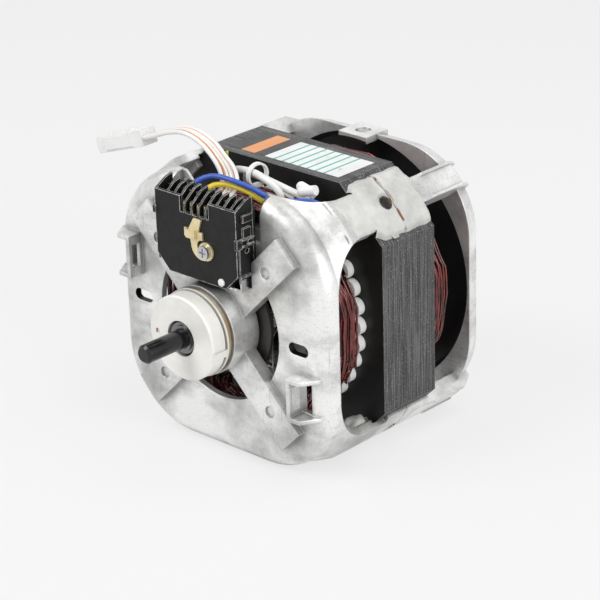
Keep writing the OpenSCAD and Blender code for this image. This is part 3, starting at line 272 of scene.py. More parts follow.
def hub_metal(name):
    """Turned cap: creamy face, oil-stained channel beside the boss, one red paint dot."""
    k = Look(name, metallic=0.08)
    rings = k.wave(520, "RINGS", 0.3)
    cloud = k.noise(60, 5, 0.6)
    base = k.mix(k.span(cloud, 0.4, 0.75), (0.97, 0.96, 0.92), (0.82, 0.81, 0.76))
    channel = k.span(k.axis(1), *(y * MM for y in HUB_CHANNEL_Y))
    oil = k.math("MULTIPLY", channel, k.span(k.noise(75, 4, 0.6), 0.3, 0.6, 0.35, 0.9))
    base = k.mix(oil, base, (0.38, 0.25, 0.1))
    base = k.mix(k.span(k.noise(40, 3, 0.5), 0.64, 0.75, 0.0, 0.5), base, (0.5, 0.4, 0.26))
    dot = k.math("MULTIPLY", k.near(PAINT_DOT, *PAINT_DOT_R), k.span(k.noise(700, 2, 0.5), 0.36, 0.5))
    # painted shade: brownish dark in hollows and inner corners
    base = k.mix(k.math("MULTIPLY", k.hollow_shade(3), 0.6), base, (0.2, 0.15, 0.09))
    k.colour(k.mix(dot, base, (0.3, 0.03, 0.03)))
    k.rough(k.span(cloud, 0.3, 0.7, 0.26, 0.42))
    k.soft_edges(0.4)
    k.bump(rings, 0.004, 0.4)
    return k.mat


def laminated(name, tone, gloss):
    """Stacked sheets: lines square to the shaft under a worn varnished coat, with dust specks; pale sharp
    edges, partly rubbed and partly a painted highlight; end faces nearly black as painted shade.
    """
    k = Look(name, metallic=0.2)
    line = k.wave(240, "BANDS", 0.4)
    drag = k.noise(1, 4, 0.6, at=k.stretched(26, 1500, 26))
    lighter = tuple(min(1, c * 6) for c in tone)
    base = k.mix(k.span(drag, 0.46, 0.68, 0.0, 0.9), tone, lighter)
    base = k.mix(k.span(k.noise(40, 5, 0.65), 0.45, 0.68, 0.0, 0.4), base, tuple(c * 0.4 for c in tone))
    base = k.mix(k.span(k.noise(1500, 2, 0.5), 0.62, 0.7, 0.0, 0.7), base, (0.55, 0.55, 0.53))
    # pale patchy edges: partly rubbed, partly a painted highlight
    rubbed_and_sheen = k.math("MULTIPLY", k.edge_wear_and_highlight(0.5), k.span(k.noise(260, 4, 0.6), 0.4, 0.6))
    base = k.mix(rubbed_and_sheen, base, (0.4, 0.4, 0.38))
    # painted shade: the faces along the shaft, inside the bells, nearly black
    shaded_ends = k.math("GREATER_THAN", k.math("ABSOLUTE", k.facing(1)), 0.7)
    k.colour(k.mix(shaded_ends, base, (0.006, 0.006, 0.006)))
    k.rough(k.span(k.noise(120, 3, 0.5), 0.3, 0.7, gloss, gloss + 0.2))
    k.bump(line, 0.04, 0.7)
    return k.mat


def moulded(name, tone, low, high, grain=1500, depth=0.02, edges=0.3, shade=0.8, frost_and_highlight=0.0, **sockets):
    """Plastic with a faint grain and slightly uneven colour; its sharp edges are paled in patches,
    partly frosted wear and partly a painted highlight.
    """
    k = Look(name, **sockets)
    cloud = k.noise(90, 4, 0.6)
    darker = tuple(c * shade for c in tone)
    base = k.mix(k.span(cloud, 0.3, 0.7), tone, darker)
    # pale patchy edges: partly frosted wear, partly a painted highlight
    if frost_and_highlight:
        patchy = k.span(k.noise(420, 3, 0.6), 0.35, 0.6, 0.25, frost_and_highlight)
        edge = k.math("MULTIPLY", k.edge_wear_and_highlight(0.7, 0.01, 0.08), patchy)
        base = k.mix(edge, base, (0.75, 0.75, 0.73))
    k.colour(base)
    k.rough(k.span(k.noise(220, 3, 0.5), 0.3, 0.7, low, high))
    if edges:
        k.soft_edges(edges)
    k.bump(k.noise(grain, 3, 0.6), depth, 0.5)
    return k.mat


def metal(name, tone, low, high, metallic=1.0):
    """Worked metal with directional streaks and slight tarnish."""
    k = Look(name, metallic=metallic)
    lines = k.noise(1, 3, 0.5, at=k.stretched(1200, 1200, 160))
    tarnish = k.noise(70, 4, 0.6)
    darker = tuple(c * 0.55 for c in tone)
    k.colour(k.mix(k.span(tarnish, 0.45, 0.75, 0.0, 0.8), tone, darker))
    k.rough(k.span(lines, 0.3, 0.7, low, high))
    k.soft_edges(0.15)
    k.bump(lines, 0.01, 0.5)
    return k.mat


def enamel(name, tone, deep):
    """Glossy wire enamel over copper, with painted shade in the hollows of a bundle."""
    k = Look(name, metallic=0.25, Coat_Weight=0.8, Coat_Roughness=0.1)
    band = k.noise(160, 3, 0.6)
    base = k.mix(k.span(band, 0.35, 0.65), deep, tone)
    # painted shade in the hollows between wires
    k.colour(k.mix(k.math("MULTIPLY", k.hollow_shade(1.2), 0.8), base, tuple(c * 0.2 for c in deep)))
    k.rough(k.span(k.noise(500, 2, 0.5), 0.3, 0.7, 0.22, 0.38))
    k.bump(k.noise(1200, 2, 0.5), 0.02, 0.4)
    return k.mat


# Radius of the rear bell's black inside: partly a dark coat, partly painted shade
DARK_COAT_AND_SHADE_R = 67.6
CAST = cast_metal(
    "cast_aluminium_front", pale=(0.93, 0.93, 0.92), dark=(0.48, 0.48, 0.47), stain=(0.4, 0.28, 0.14),
    edges=0.9, slots=PUMP_SLOTS,
)
CAST_REAR = cast_metal(
    "cast_aluminium_rear", pale=(0.93, 0.93, 0.92), dark=(0.6, 0.6, 0.59), stain=(0.36, 0.28, 0.18),
    edges=0.9, dark_coat_and_shade_r=DARK_COAT_AND_SHADE_R,
)
CAGE = cast_metal(
    "cast_cage", pale=(0.5, 0.5, 0.5), dark=(0.32, 0.32, 0.32), stain=(0.25, 0.2, 0.15), edges=0.5,
)
HUB = hub_metal("turned_hub")
CORE = laminated("stator_laminations", (0.034, 0.034, 0.035), 0.36)
ROTOR = laminated("rotor_laminations", (0.06, 0.06, 0.065), 0.35)
FILM = moulded("slot_film", (0.95, 0.95, 0.93), 0.25, 0.4, edges=0.5, shade=0.93)
ENAMEL = enamel("main_enamel", (0.24, 0.022, 0.014), (0.04, 0.005, 0.004))
# the start winding's enamel is darker than the main one: painted shade for the inside of the bells
ENAMEL_START = enamel("start_enamel", (0.1, 0.016, 0.01), (0.02, 0.004, 0.003))
BRONZE = metal("sintered_bronze", (0.5, 0.33, 0.16), 0.35, 0.55)
STEEL = metal("bright_steel", (0.66, 0.66, 0.67), 0.2, 0.34)
PLATED = metal("plated_steel", (0.5, 0.48, 0.42), 0.3, 0.45)
BRASS = metal("brass_terminal", (0.7, 0.5, 0.2), 0.2, 0.36)
STRAP = metal("plated_strap", (0.86, 0.74, 0.45), 0.28, 0.42, metallic=0.7)
FELT = moulded("oil_felt", (0.6, 0.52, 0.36), 0.85, 0.95, grain=700, depth=0.25, edges=0)
SHAFT = moulded(
    "black_shaft", (0.006, 0.006, 0.007), 0.14, 0.24, grain=700, depth=0.006,
    Specular_IOR_Level=0.4, Coat_Weight=0.15, Coat_Roughness=0.05,
)
DARK_STEEL = metal("dark_steel", (0.2, 0.2, 0.2), 0.16, 0.3)
NATURAL = moulded("natural_nylon", (0.74, 0.69, 0.54), 0.35, 0.5)
PHENOLIC = moulded(
    "black_phenolic", (0.005, 0.005, 0.005), 0.42, 0.58, grain=1100, depth=0.03, frost_and_highlight=0.9,
    Specular_IOR_Level=0.3,
)
PHENOLIC_BACK = moulded("black_phenolic_back", (0.02, 0.02, 0.02), 0.36, 0.52)
DARK_NYLON = moulded("dark_nylon", (0.05, 0.045, 0.04), 0.35, 0.5)
NYLON = moulded("white_nylon", (0.93, 0.93, 0.92), 0.3, 0.45, edges=0.5, shade=0.93)
GLUE = moulded("amber_adhesive", (0.36, 0.2, 0.06), 0.2, 0.4, grain=300, depth=0.2, edges=0)
INSULATION = {
    "blue": moulded("blue_insulation", (0.04, 0.11, 0.5), 0.28, 0.4, edges=0),
    "yellow": moulded("yellow_insulation", (0.82, 0.62, 0.05), 0.28, 0.4, edges=0, shade=0.9),
    "white": moulded("white_insulation", (0.86, 0.86, 0.85), 0.3, 0.42, edges=0, shade=0.94),
    "green": moulded("green_insulation", (0.55, 0.62, 0.1), 0.3, 0.42, edges=0),
    "black": moulded("black_stripe", (0.02, 0.02, 0.02), 0.3, 0.42, edges=0),
    "orange": moulded("orange_stripe", (0.8, 0.36, 0.14), 0.3, 0.42, edges=0),
    "peach": moulded("peach_stripe", (0.85, 0.58, 0.46), 0.3, 0.42, edges=0),
}

NODE_LOOKS = {
    "front_bell": CAST, "rear_bell": CAST_REAR, "leg_bonds": GLUE, "stator_core": CORE, "slot_liners": FILM,
    "front_bearing": BRONZE, "rear_bearing": BRONZE, "front_felt": FELT, "rear_felt": FELT,
    "front_retainer": STEEL, "rear_retainer": STEEL, "front_hub_cap": HUB, "rear_hub_cap": PLATED,
    "rotor_core": ROTOR, "rotor_cage": CAGE, "shaft": SHAFT, "thrust_washers": NATURAL,
    "oil_slinger": DARK_STEEL, "governor_plate": PLATED, "governor_pins": STEEL,
    "governor_collar": DARK_NYLON, "governor_weight_top": PLATED, "governor_weight_bottom": PLATED,
    "switch_housing": PHENOLIC, "switch_back": PHENOLIC_BACK, "switch_lever": NATURAL,
    "switch_lever_pin": STEEL, "switch_contacts": BRASS, "terminal_blades": STEEL, "terminal_sockets": BRASS,
    "ground_clip": STRAP, "ground_screw": STEEL, "switch_rivet": NYLON, "switch_clip": STEEL,
    "splice_caps": NYLON, "lead_tie": NYLON, "harness_plug": NYLON,
}

for node_name, node_look in NODE_LOOKS.items():
    mesh_looks = nodes[node_name].data.materials
    mesh_looks.clear()
    mesh_looks.append(node_look)

# Tubes: a tube's flat ends have six corners or more, and its sides have four

CAP_CORNERS = 6


def smooth_path(points, steps):
    """Passes a smooth curve through the points, with steps pieces between each two."""
    out = []
    last = len(points) - 1
    for i in range(last):
        p0, p1 = points[max(i - 1, 0)], points[i]
        p2, p3 = points[i + 1], points[min(i + 2, last)]
        for s in range(steps):
            t = s / steps
            out.append(
                0.5 * (2 * p1 + (p2 - p0) * t + (2 * p0 - 5 * p1 + 4 * p2 - p3) * t * t
                       + (3 * p1 - p0 - 3 * p2 + p3) * t * t * t)
            )
    out.append(points[last])
    return out


def tangents(path):
    """The direction of the path at each of its points."""
    last = len(path) - 1
    return [(path[min(i + 1, last)] - path[max(i - 1, 0)]).normalized() for i in range(last + 1)]


def carried(path, side):
    """One side vector per point, carried along the path without twisting."""
    out, n = [], Vector(side)
    for t in tangents(path):
        n = (n - t * n.dot(t)).normalized()
        out.append(n)
    return out


def tube_geometry(path, sides_at, radius, count, verts, faces):
    """Adds a closed round tube along the path; sides_at gives each ring's first corner."""
    base = len(verts)
    for p, n, t in zip(path, sides_at, tangents(path)):
        n = (n - t * n.dot(t)).normalized()
        b = t.cross(n)
        for j in range(count):
            a = 2 * math.pi * j / count
            verts.append(p + (n * math.cos(a) + b * math.sin(a)) * radius)
    rings = len(path)
    for i in range(rings - 1):
        for j in range(count):
            a, b = base + i * count + j, base + i * count + (j + 1) % count
            faces.append((a, b, b + count, a + count))
    faces.append(tuple(base + j for j in reversed(range(count))))
    faces.append(tuple(base + (rings - 1) * count + j for j in range(count)))


def mesh_piece(name, verts, faces, mats, body=HOUSING, smooth=True):
    """Makes an object from millimetre vertices; it rides on the body, or on none."""
    mesh = bpy.data.meshes.new(name)
    mesh.from_pydata([v * MM for v in verts], [], faces)
    mesh.validate()
    mesh.update()
    for p in mesh.polygons:
        p.use_smooth = smooth and len(p.vertices) < CAP_CORNERS
    obj = bpy.data.objects.new(name, mesh)
    scene.collection.objects.link(obj)
    for m in mats:
        mesh.materials.append(m)
    if body:
        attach(obj, body)
    return obj


# Free harness: the route's points are those of the part's source

HARNESS_ROUTE = [
    (2, 0, 64), (2, 4, 64.5), (2, 8, 67), (0, 11, 71), (-3, 12, 75.5), (-7, 12, 79.5), (-11, 12, 83),
    (-15, 12, 85.5), (-20, 12, 87.5), (-25, 12, 88.5), (-30, 12, 88.5), (-35, 12, 87.5), (-40, 12, 86),
    (-45, 12, 84), (-50, 12, 82), (-56, 12, 80),
]
WIRE_STEP = 2.45
WIRE_D = 2.2
START_GAP = 0.05
WIRE_SIDES = 16
TURN_POINTS = 5
HARNESS_STEPS = 4
# Node, stripe colour, material slot, and the sides of the tube that carry the stripe
WIRES = [
    ("harness_black", "black", "white_insulation", (0, 1, 2)),
    ("harness_orange", "orange", "orange_insulation", (6, 7, 8)),
    ("harness_pink", "peach", "pink_insulation", (2, 3, 4, 10, 11, 12)),
    ("harness_white", "black", "white_insulation", (13,)),
]


def harness_path(i):
    """The four wires start side by side along X and turn to lie side by side along Y."""
    out = []
    for k, p in enumerate(HARNESS_ROUTE):
        a = math.radians(90 * min(1, k / TURN_POINTS))
        aside = (i - (len(WIRES) - 1) / 2) * WIRE_STEP * Vector((math.cos(a), math.sin(a), 0))
        out.append(Vector(p) + Vector((0, START_GAP, 0)) + aside)
    return smooth_path(out, HARNESS_STEPS)


def make_harness():
    for i, (node, stripe, slot_name, striped) in enumerate(WIRES):
        path = harness_path(i)
        verts, faces = [], []
        tube_geometry(path, carried(path, (0, 1, 0)), WIRE_D / 2, WIRE_SIDES, verts, faces)
        looks = [INSULATION["white"], INSULATION[stripe]]
        wire = mesh_piece(node + "_wire", verts, faces, looks)
        for n, poly in enumerate(wire.data.polygons):
            if len(poly.vertices) < CAP_CORNERS and n % WIRE_SIDES in striped:
                poly.material_index = 1
        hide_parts(node)


make_harness()

# Leads that the motor holds: colour, diameter, material slot and route

LEAD_SIDES, LEAD_STEPS = 14, 5
LEADS = {
    "blue_lead": ("blue", 2.6, "blue_insulation", [
        (-11, -1, 70), (-9, 2, 71.5), (-5, 4, 73), (0, 5, 73.5), (6, 6, 73), (12, 8, 71.5), (18, 10, 69.5),
        (24, 12, 67), (30, 15, 65.5), (36, 19, 65.5), (41, 23, 65.5), (45, 26, 63.5), (46, 28, 59),
        (44, 29, 54), (41, 29, 49)]),
    "yellow_lead": ("yellow", 2.6, "yellow_insulation", [
        (-4, -1, 68), (-2, 3, 69.5), (3, 6, 70), (9, 8, 69), (15, 10, 67), (20, 12, 64), (25, 15, 62),
        (30, 19, 61.5), (35, 22, 62), (39, 25, 61), (41, 27, 57), (40, 28, 52), (37, 28, 47)]),
    "white_lead": ("white", 3.6, "white_insulation", [
        (-14, 30.4, 57.4), (-14, 28, 62), (-12, 25, 67), (-7, 23, 70.5), (0, 22, 72), (7, 21, 72.5),
        (13, 20, 72), (19, 20, 70), (23, 21, 66.5), (23, 22, 63), (19, 23.5, 60.8), (14, 25.5, 60),
        (9, 27, 59.5)]),
    "white_loop_lead": ("white", 3.6, "white_insulation", [
        (-8, 33, 57), (-8, 31, 62), (-6, 29, 66), (-1, 27, 68.5), (6, 26, 69), (13, 26, 68), (19, 27, 66.5),
        (25, 28, 65), (31, 29, 63.5), (35, 30, 60), (36, 31, 55), (34, 32, 50)]),
    "green_lead": ("green", 1.56, "green_insulation", [
        (-20, 28, 54.8), (-20, 28, 60), (-19.5, 28, 64), (-19, 28, 68), (-18.5, 28, 72), (-18, 28, 76)]),
}


def make_leads():
    for node, (colour, d, slot_name, route) in LEADS.items():
        path = smooth_path([Vector(p) for p in route], LEAD_STEPS)
        verts, faces = [], []
        tube_geometry(path, carried(path, (0, 1, 0)), d / 2, LEAD_SIDES, verts, faces)
        lead = mesh_piece(node + "_wire", verts, faces, [INSULATION[colour]])
        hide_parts(node)


make_leads()

# Windings: each CAD strand becomes a bunch of fine wires through the same slots

STACK_Y0, STACK_Y1 = 41.0, 79.0
STACK_MID = (STACK_Y0 + STACK_Y1) / 2
ARC_RINGS = 14
WINDING_SIDES, WINDING_STEPS = 6, 2
# A wire runs straight this far past the stack, and leans outward in the last band of its rise
SLOT_PAST, FLARE_BAND = 2, 7
# Each wire's own place in the slot, lean and squareness of turn
ACROSS_SLOT, DOWN_SLOT = 1.3, 1.7
FLARE_OUT = (-0.5, 2.5)
SQUARENESS = (0.3, 0.55)
# Clear of the stack the bunch waves as one, and each wire ripples on its own
FREE_PAST = 3
WAVE_PITCH, WAVE_SEED = 0.075, 4
RIPPLE, RIPPLE_PITCH, RIPPLE_PHASE = 0.6, 0.14, 50

# Half the loop's angle at the shaft, the slot's radius, and its reach past the stack's front and rear
Loop = namedtuple("Loop", "half radius front rear")
MAIN_LOOPS = [
    Loop(20, 52.65, 11, 7.5), Loop(30, 52.65, 15.6, 11),
    Loop(40, 52.65, 20.2, 14.6), Loop(40, 48.05, 26.0, 18.8),
]
START_LOOPS = [Loop(35, 46.35, 13, 10), Loop(35, 50.85, 18, 14.5)]


def bulge(v, power):
    """A power that keeps the sign; under 1 it makes a round turn squarer."""
    return math.copysign(abs(v) ** power, v)


def eased(v):
    """0 to 1 with a soft start and end."""
    c = min(1.0, max(0.0, v))
    return c * c * (3 - 2 * c)


def polar(deg, r, y):
    a = math.radians(deg)
    return Vector((r * math.cos(a), y, r * math.sin(a)))


def lerp(a, b, v):
    return a + (b - a) * v


def rear_point(pole, loop, v, flare, power):
    """A point at share v of the way over the rear, from one slot of a loop to the other."""
    lift = lerp(SLOT_PAST, loop.rear, bulge(math.sin(math.pi * v), power))
    r = lerp(loop.radius, flare, eased((lift - loop.rear + FLARE_BAND) / FLARE_BAND))
    return polar(pole + loop.half * bulge(math.cos(math.pi * v), power), r, STACK_Y1 + lift)


def front_point(pole, loop, after, v, flare, power):
    """A point at share v of the way over the front, from a loop to the one after it."""
    rise = lerp(loop.front, after.front, v)
    lift = lerp(SLOT_PAST, rise, bulge(math.sin(math.pi * v), power))
    r = lerp(lerp(loop.radius, after.radius, v), flare, eased((lift - rise + FLARE_BAND) / FLARE_BAND))
    swing = lerp(loop.half, after.half, v) * bulge(math.cos(math.pi * v), power)
    return polar(pole - swing, r, STACK_Y0 - lift)


def turn_steps(power):
    """Places along a turn, spread between even steps of its angle and even steps of its width."""
    even = [i / (ARC_RINGS + 1) for i in range(1, ARC_RINGS + 1)]
    return [(v + math.acos(bulge(1 - 2 * v, 1 / power)) / math.pi) / 2 for v in even]


def coil_path(pole, loops, flare, power):
    """Each loop goes back through a slot, over the rear, forward through a slot and over the front."""
    steps = turn_steps(power)
    slot_ys = (STACK_Y0 - SLOT_PAST, STACK_MID, STACK_Y1 + SLOT_PAST)
    pts = []
    for k, loop in enumerate(loops):
        after = loops[min(k + 1, len(loops) - 1)]
        front = steps if after is not loop else steps[:ARC_RINGS // 2]
        pts += [polar(pole + loop.half, loop.radius, y) for y in slot_ys]
        pts += [rear_point(pole, loop, v, flare[1], power) for v in steps]
        pts += [polar(pole - loop.half, loop.radius, y) for y in reversed(slot_ys)]
        pts += [front_point(pole, loop, after, v, flare[0], power) for v in front]
    return pts


def wire_path(pole, loops, flare, spread, wave, rng):
    """One wire of a coil: it keeps its own place in the slots and its own height over the stack."""
    rise = rng.uniform(1 - spread, 1)
    out = rng.uniform(*FLARE_OUT)
    power = rng.uniform(*SQUARENESS)
    own = []
    for half, r, front, rear in loops:
        across = rng.uniform(-ACROSS_SLOT, ACROSS_SLOT)
        down = rng.uniform(-DOWN_SLOT, DOWN_SLOT)
        own.append(Loop(half + math.degrees(across / r), r + down, front * rise, rear * rise))
    phase = Vector([rng.uniform(0, RIPPLE_PHASE) for _ in range(3)])
    path = smooth_path(coil_path(pole, own, [f + out for f in flare], power), WINDING_STEPS)
    for i, p in enumerate(path):
        if not STACK_Y0 - FREE_PAST < p.y < STACK_Y1 + FREE_PAST:
            slow = noise.noise_vector(p * WAVE_PITCH)
            path[i] = p + wave * slow + RIPPLE * noise.noise_vector(p * RIPPLE_PITCH + phase)
    return path


def make_winding(name, poles, loops, flare, wires, spread, wave, wire_r, mat, seed):
    rng = random.Random(seed)
    noise.seed_set(WAVE_SEED)
    verts, faces = [], []
    for pole in poles:
        for _ in range(wires):
            path = wire_path(pole, loops, flare, spread, wave, rng)
            outward = [Vector((p.x, 0, p.z)) for p in path]
            tube_geometry(path, outward, wire_r, WINDING_SIDES, verts, faces)
    piece = mesh_piece(name + "_wires", verts, faces, [mat])
    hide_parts(name)


make_winding(
    "main_winding", (0, 90, 180, 270), MAIN_LOOPS, flare=(57.8, 60.6), wires=20, spread=0.5, wave=1.6,
    wire_r=0.6, mat=ENAMEL, seed=3,
)
make_winding(
    "start_winding", (45, 135, 225, 315), START_LOOPS, flare=(43.6, 43.6), wires=10, spread=0.15, wave=0.4,
    wire_r=0.42, mat=ENAMEL_START, seed=5,
)

# Sealant on the right-hand legs: s runs across the upper leg and d out from the shaft's axis

# The leg's round face, the stack's facet beside it, the seam between the bells and the leg's hole
LEG_D0, LEG_R = 36.77, 47.49
FACET_D, FACET_SINK = 80.26, 0.5
SEAM_Y, SEAM_HALF, SEAM_H = 60.0, 0.6, -0.4
SEAM_S = (-13, 5)
RUST_HALF = (0.5, 1.1)
HOLE_Y, HOLE_R = 56.0, 3.9
# Half the coat's width, and where the leg widens into the skirt
LEG_HALF, FACET_HALF, REAR_HALF = 10.8, 14.3, 7.0
SKIRT_Y, SKIRT_ARC = 32, 22
FACET_FADE = 5
# The coat's thickness and lumps, and how it thins out
COAT_T, COAT_LUMP, COAT_LEAST = 0.5, 0.8, -1.5
FRONT_THIN, REAR_THIN, REAR_THIN_Y = 0.1, 0.35, 77
EDGE_THIN, EDGE_IN, EDGE_SPARE = 1.6, 0.9, 0.1
HOLE_THIN, HOLE_RIM, HOLE_FADE = 1.4, 5.2, 1.6
RUN_DOWN, RUN_DOWN_LUMP = 2.9, 1.3
# The coat's grid, and the lump on the lower leg
COAT_STEP = 0.5
COAT_S = range(-35, 36)
COAT_Y0, COAT_ROWS = 22, 127
BLOB_AT, BLOB_SIZE = (76.2, 4.5, 32.5), (4.6, 6.2, 7.2)
BLOB_ROWS, BLOB_COLS, BLOB_LUMP = 14, 22, 0.3


def sealant_look():
    k = Look("white_sealant")
    base = k.mix(k.span(k.noise(55, 5, 0.65), 0.36, 0.64), (0.47, 0.47, 0.445), (0.67, 0.67, 0.65))
    from_seam = k.math("ABSOLUTE", k.math("SUBTRACT", k.axis(1), SEAM_Y * MM))
    line = k.span(from_seam, RUST_HALF[0] * MM, RUST_HALF[1] * MM, 1.0, 0.0)
    rust = k.math("MULTIPLY", line, k.span(k.noise(170, 4, 0.6), 0.42, 0.54))
    base = k.mix(rust, base, (0.2, 0.07, 0.03))
    # painted shade: greyer in hollows and inner corners
    k.colour(k.mix(k.math("MULTIPLY", k.hollow_shade(4), 0.6), base, (0.3, 0.28, 0.24)))
    k.rough(k.span(k.noise(90, 3, 0.5), 0.3, 0.7, 0.35, 0.55))
    k.bump(k.noise(420, 4, 0.6), 0.12, 0.6)
    return k.mat


def leg_half(y):
    """Half the width that the sealant covers: the leg's own in front, more on the stack's facet."""
    if y < SKIRT_Y:
        return LEG_HALF + SKIRT_ARC - math.sqrt(SKIRT_ARC ** 2 - (y - SKIRT_Y) ** 2)
    if y > STACK_Y1:
        return REAR_HALF
    return lerp(LEG_HALF, FACET_HALF, eased((y - STACK_Y0) / FACET_FADE))


def coat(s, y):
    """Height of the sealant over the leg's surface; under zero it lies inside the leg."""
    lump = noise.noise(Vector((s / 6, y / 7, 3.1))) + 0.25 * noise.noise(Vector((s / 2.6, y / 3, 7.7)))
    h = COAT_T + COAT_LUMP * lump
    h -= FRONT_THIN * max(0, SKIRT_Y - y) + REAR_THIN * max(0, y - REAR_THIN_Y)
    h -= HOLE_THIN * eased((HOLE_RIM - math.hypot(s, y - HOLE_Y)) / HOLE_FADE)
    if abs(y - SEAM_Y) < SEAM_HALF and SEAM_S[0] < s < SEAM_S[1]:
        h = SEAM_H
    past = abs(s) - leg_half(y) + EDGE_IN
    if past > 0 and not STACK_Y0 <= y <= STACK_Y1:
        h -= EDGE_THIN * past
    return max(h, COAT_LEAST)


def coat_point(s, y):
    """A point of the coat; past the leg's side it runs down to the stack's facet."""
    r = LEG_R + coat(s, y)
    d = LEG_D0 + math.sqrt(r * r - s * s)
    past = abs(s) - leg_half(y)
    if STACK_Y0 <= y <= STACK_Y1 and past > 0:
        width = RUN_DOWN + RUN_DOWN_LUMP * noise.noise(Vector((0, y / 6, 1)))
        d = lerp(d, FACET_D - FACET_SINK, eased(past / width))
    return Vector(((d + s) / math.sqrt(2), y, (d - s) / math.sqrt(2)))


def make_coat(look):
    """A lumpy coat over the upper leg, thin or gone at its edge, open at the hole."""
    ss = [i * COAT_STEP for i in COAT_S]
    ys = [COAT_Y0 + j * COAT_STEP for j in range(COAT_ROWS)]
    verts = [coat_point(s, y) for y in ys for s in ss]
    faces = []
    for j in range(len(ys) - 1):
        for i in range(len(ss) - 1):
            reach = max(abs(ss[i]), abs(ss[i + 1]))
            on_stack = STACK_Y0 <= ys[j] and ys[j + 1] <= STACK_Y1
            if not on_stack and reach > min(leg_half(ys[j]), leg_half(ys[j + 1])) + EDGE_SPARE:
                continue
            if math.hypot(ss[i], ys[j] - HOLE_Y) < HOLE_R:
                continue
            a = j * len(ss) + i
            faces.append((a, a + len(ss), a + len(ss) + 1, a + 1))
    mesh_piece("leg_sealant", verts, faces, [look])


def make_blob(look):
    """A lump of the sealant on the lower leg."""
    verts, faces = [], []
    for j in range(BLOB_ROWS + 1):
        for i in range(BLOB_COLS):
            u, v = 2 * math.pi * i / BLOB_COLS, math.pi * j / BLOB_ROWS
            out = Vector((math.cos(u) * math.sin(v), math.sin(u) * math.sin(v), math.cos(v)))
            size = 1 + BLOB_LUMP * noise.noise(out * 1.7)
            d, s, y = (at + r * o * size for at, r, o in zip(BLOB_AT, BLOB_SIZE, out))
            verts.append(Vector(((d + s) / math.sqrt(2), y, (s - d) / math.sqrt(2))))
    for j in range(BLOB_ROWS):
        for i in range(BLOB_COLS):
            a, b = j * BLOB_COLS + i, j * BLOB_COLS + (i + 1) % BLOB_COLS
            faces.append((a, b, b + BLOB_COLS, a + BLOB_COLS))
    mesh_piece("leg_sealant_blob", verts, faces, [look])


SEALANT = sealant_look()
make_coat(SEALANT)
make_blob(SEALANT)

# Blank label on top of the stack: plain bands, no words

LABEL_AT, LABEL_SIZE, LABEL_T = (1, 59.5, 70.02), (74, 26), 0.12
# The lined field, the dark band at the left and the stripe on it
LINES_X, LINES_RADIANS_PER_M, LINES_CUT = (-6, 33), 1150, 0.72
DARK_TO_X = -10.5
STRIPE_X, STRIPE_HALF = -22, 4.5


def label_look():
    k = Look("blank_label")
    x = k.axis(0)
    base = k.mix(k.span(k.noise(80, 4, 0.6), 0.35, 0.7), (0.88, 0.89, 0.88), (0.76, 0.78, 0.77))
    line = k.math("GREATER_THAN", k.math("SINE", k.math("MULTIPLY", x, LINES_RADIANS_PER_M)), LINES_CUT)
    after, before = k.math("GREATER_THAN", x, LINES_X[0] * MM), k.math("LESS_THAN", x, LINES_X[1] * MM)
    base = k.mix(k.math("MULTIPLY", line, k.math("MULTIPLY", after, before)), base, (0.14, 0.46, 0.4))
    base = k.mix(k.math("LESS_THAN", x, DARK_TO_X * MM), base, (0.05, 0.05, 0.05))
    from_stripe = k.math("ABSOLUTE", k.math("SUBTRACT", x, STRIPE_X * MM))
    base = k.mix(k.math("LESS_THAN", from_stripe, STRIPE_HALF * MM), base, (0.78, 0.34, 0.14))
    k.colour(k.mix(k.span(k.noise(300, 4, 0.65), 0.6, 0.72, 0.0, 0.5), base, (0.2, 0.2, 0.19)))
    k.rough(k.span(k.noise(150, 3, 0.5), 0.3, 0.7, 0.4, 0.55))
    k.bump(k.noise(60, 3, 0.5), 0.06, 0.4)
    return k.mat


def make_label():
    (x, y, z), (w, d) = LABEL_AT, LABEL_SIZE
    verts = [Vector((x + i * w / 2, y + j * d / 2, z + t)) for t in (0, LABEL_T) for i, j in SQUARE]
    faces = [(3, 2, 1, 0), (4, 5, 6, 7)] + [(i, (i + 1) % 4, (i + 1) % 4 + 4, i + 4) for i in range(4)]
    mesh_piece("blank_label", verts, faces, [label_look()], smooth=False)


make_label()

# Governor springs: each half runs from the spring's middle to a hook at its weight

SPRING_X, SPRING_Y, SPRING_Z = 18.0, 20.0, 26.0
SPRING_R, SPRING_WIRE, SPRING_SIDES, SPRING_STEPS = 1.8, 0.8, 8, 2
HOOK_R, HOOK_LEAD = 1.9, 4
SPRING_LEG_Z = (8, 12)
CURL_RINGS, CURLS, CURL_PITCH = 12, 6, 1.6


def spring_half():
    """Half of a spring from its middle: its curls, a straight leg and the hook."""
    half = []
    for i in range(CURL_RINGS * CURLS // 2 + 1):
        a = 2 * math.pi * i / CURL_RINGS
        half.append(Vector((SPRING_R * math.cos(a), SPRING_R * math.sin(a), CURL_PITCH * i / CURL_RINGS)))
    half.append(Vector((0.4, HOOK_R * 0.5, SPRING_LEG_Z[0])))
    half += [Vector((0, HOOK_R, z)) for z in (SPRING_LEG_Z[1], SPRING_Z - HOOK_LEAD)]
    for deg in (0, 60, 120, 180):
        a = math.radians(deg)
        half.append(Vector((0, HOOK_R * math.cos(a), SPRING_Z + HOOK_R * math.sin(a))))
    return smooth_path(half, SPRING_STEPS)


def make_springs():
    for end, up in (("top", 1), ("bottom", -1)):
        verts, faces = [], []
        for s in (-1, 1):
            path = [Vector((s * SPRING_X + p.x, SPRING_Y + up * p.y, up * p.z)) for p in spring_half()]
            tube_geometry(path, carried(path, (1, 0, 0)), SPRING_WIRE / 2, SPRING_SIDES, verts, faces)
        piece = mesh_piece("governor_springs_" + end, verts, faces, [STEEL], body=None)
        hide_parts("governor_springs")
        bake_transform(piece)


make_springs()

# Moulded ledges and snaps on the switch's sides and front edges

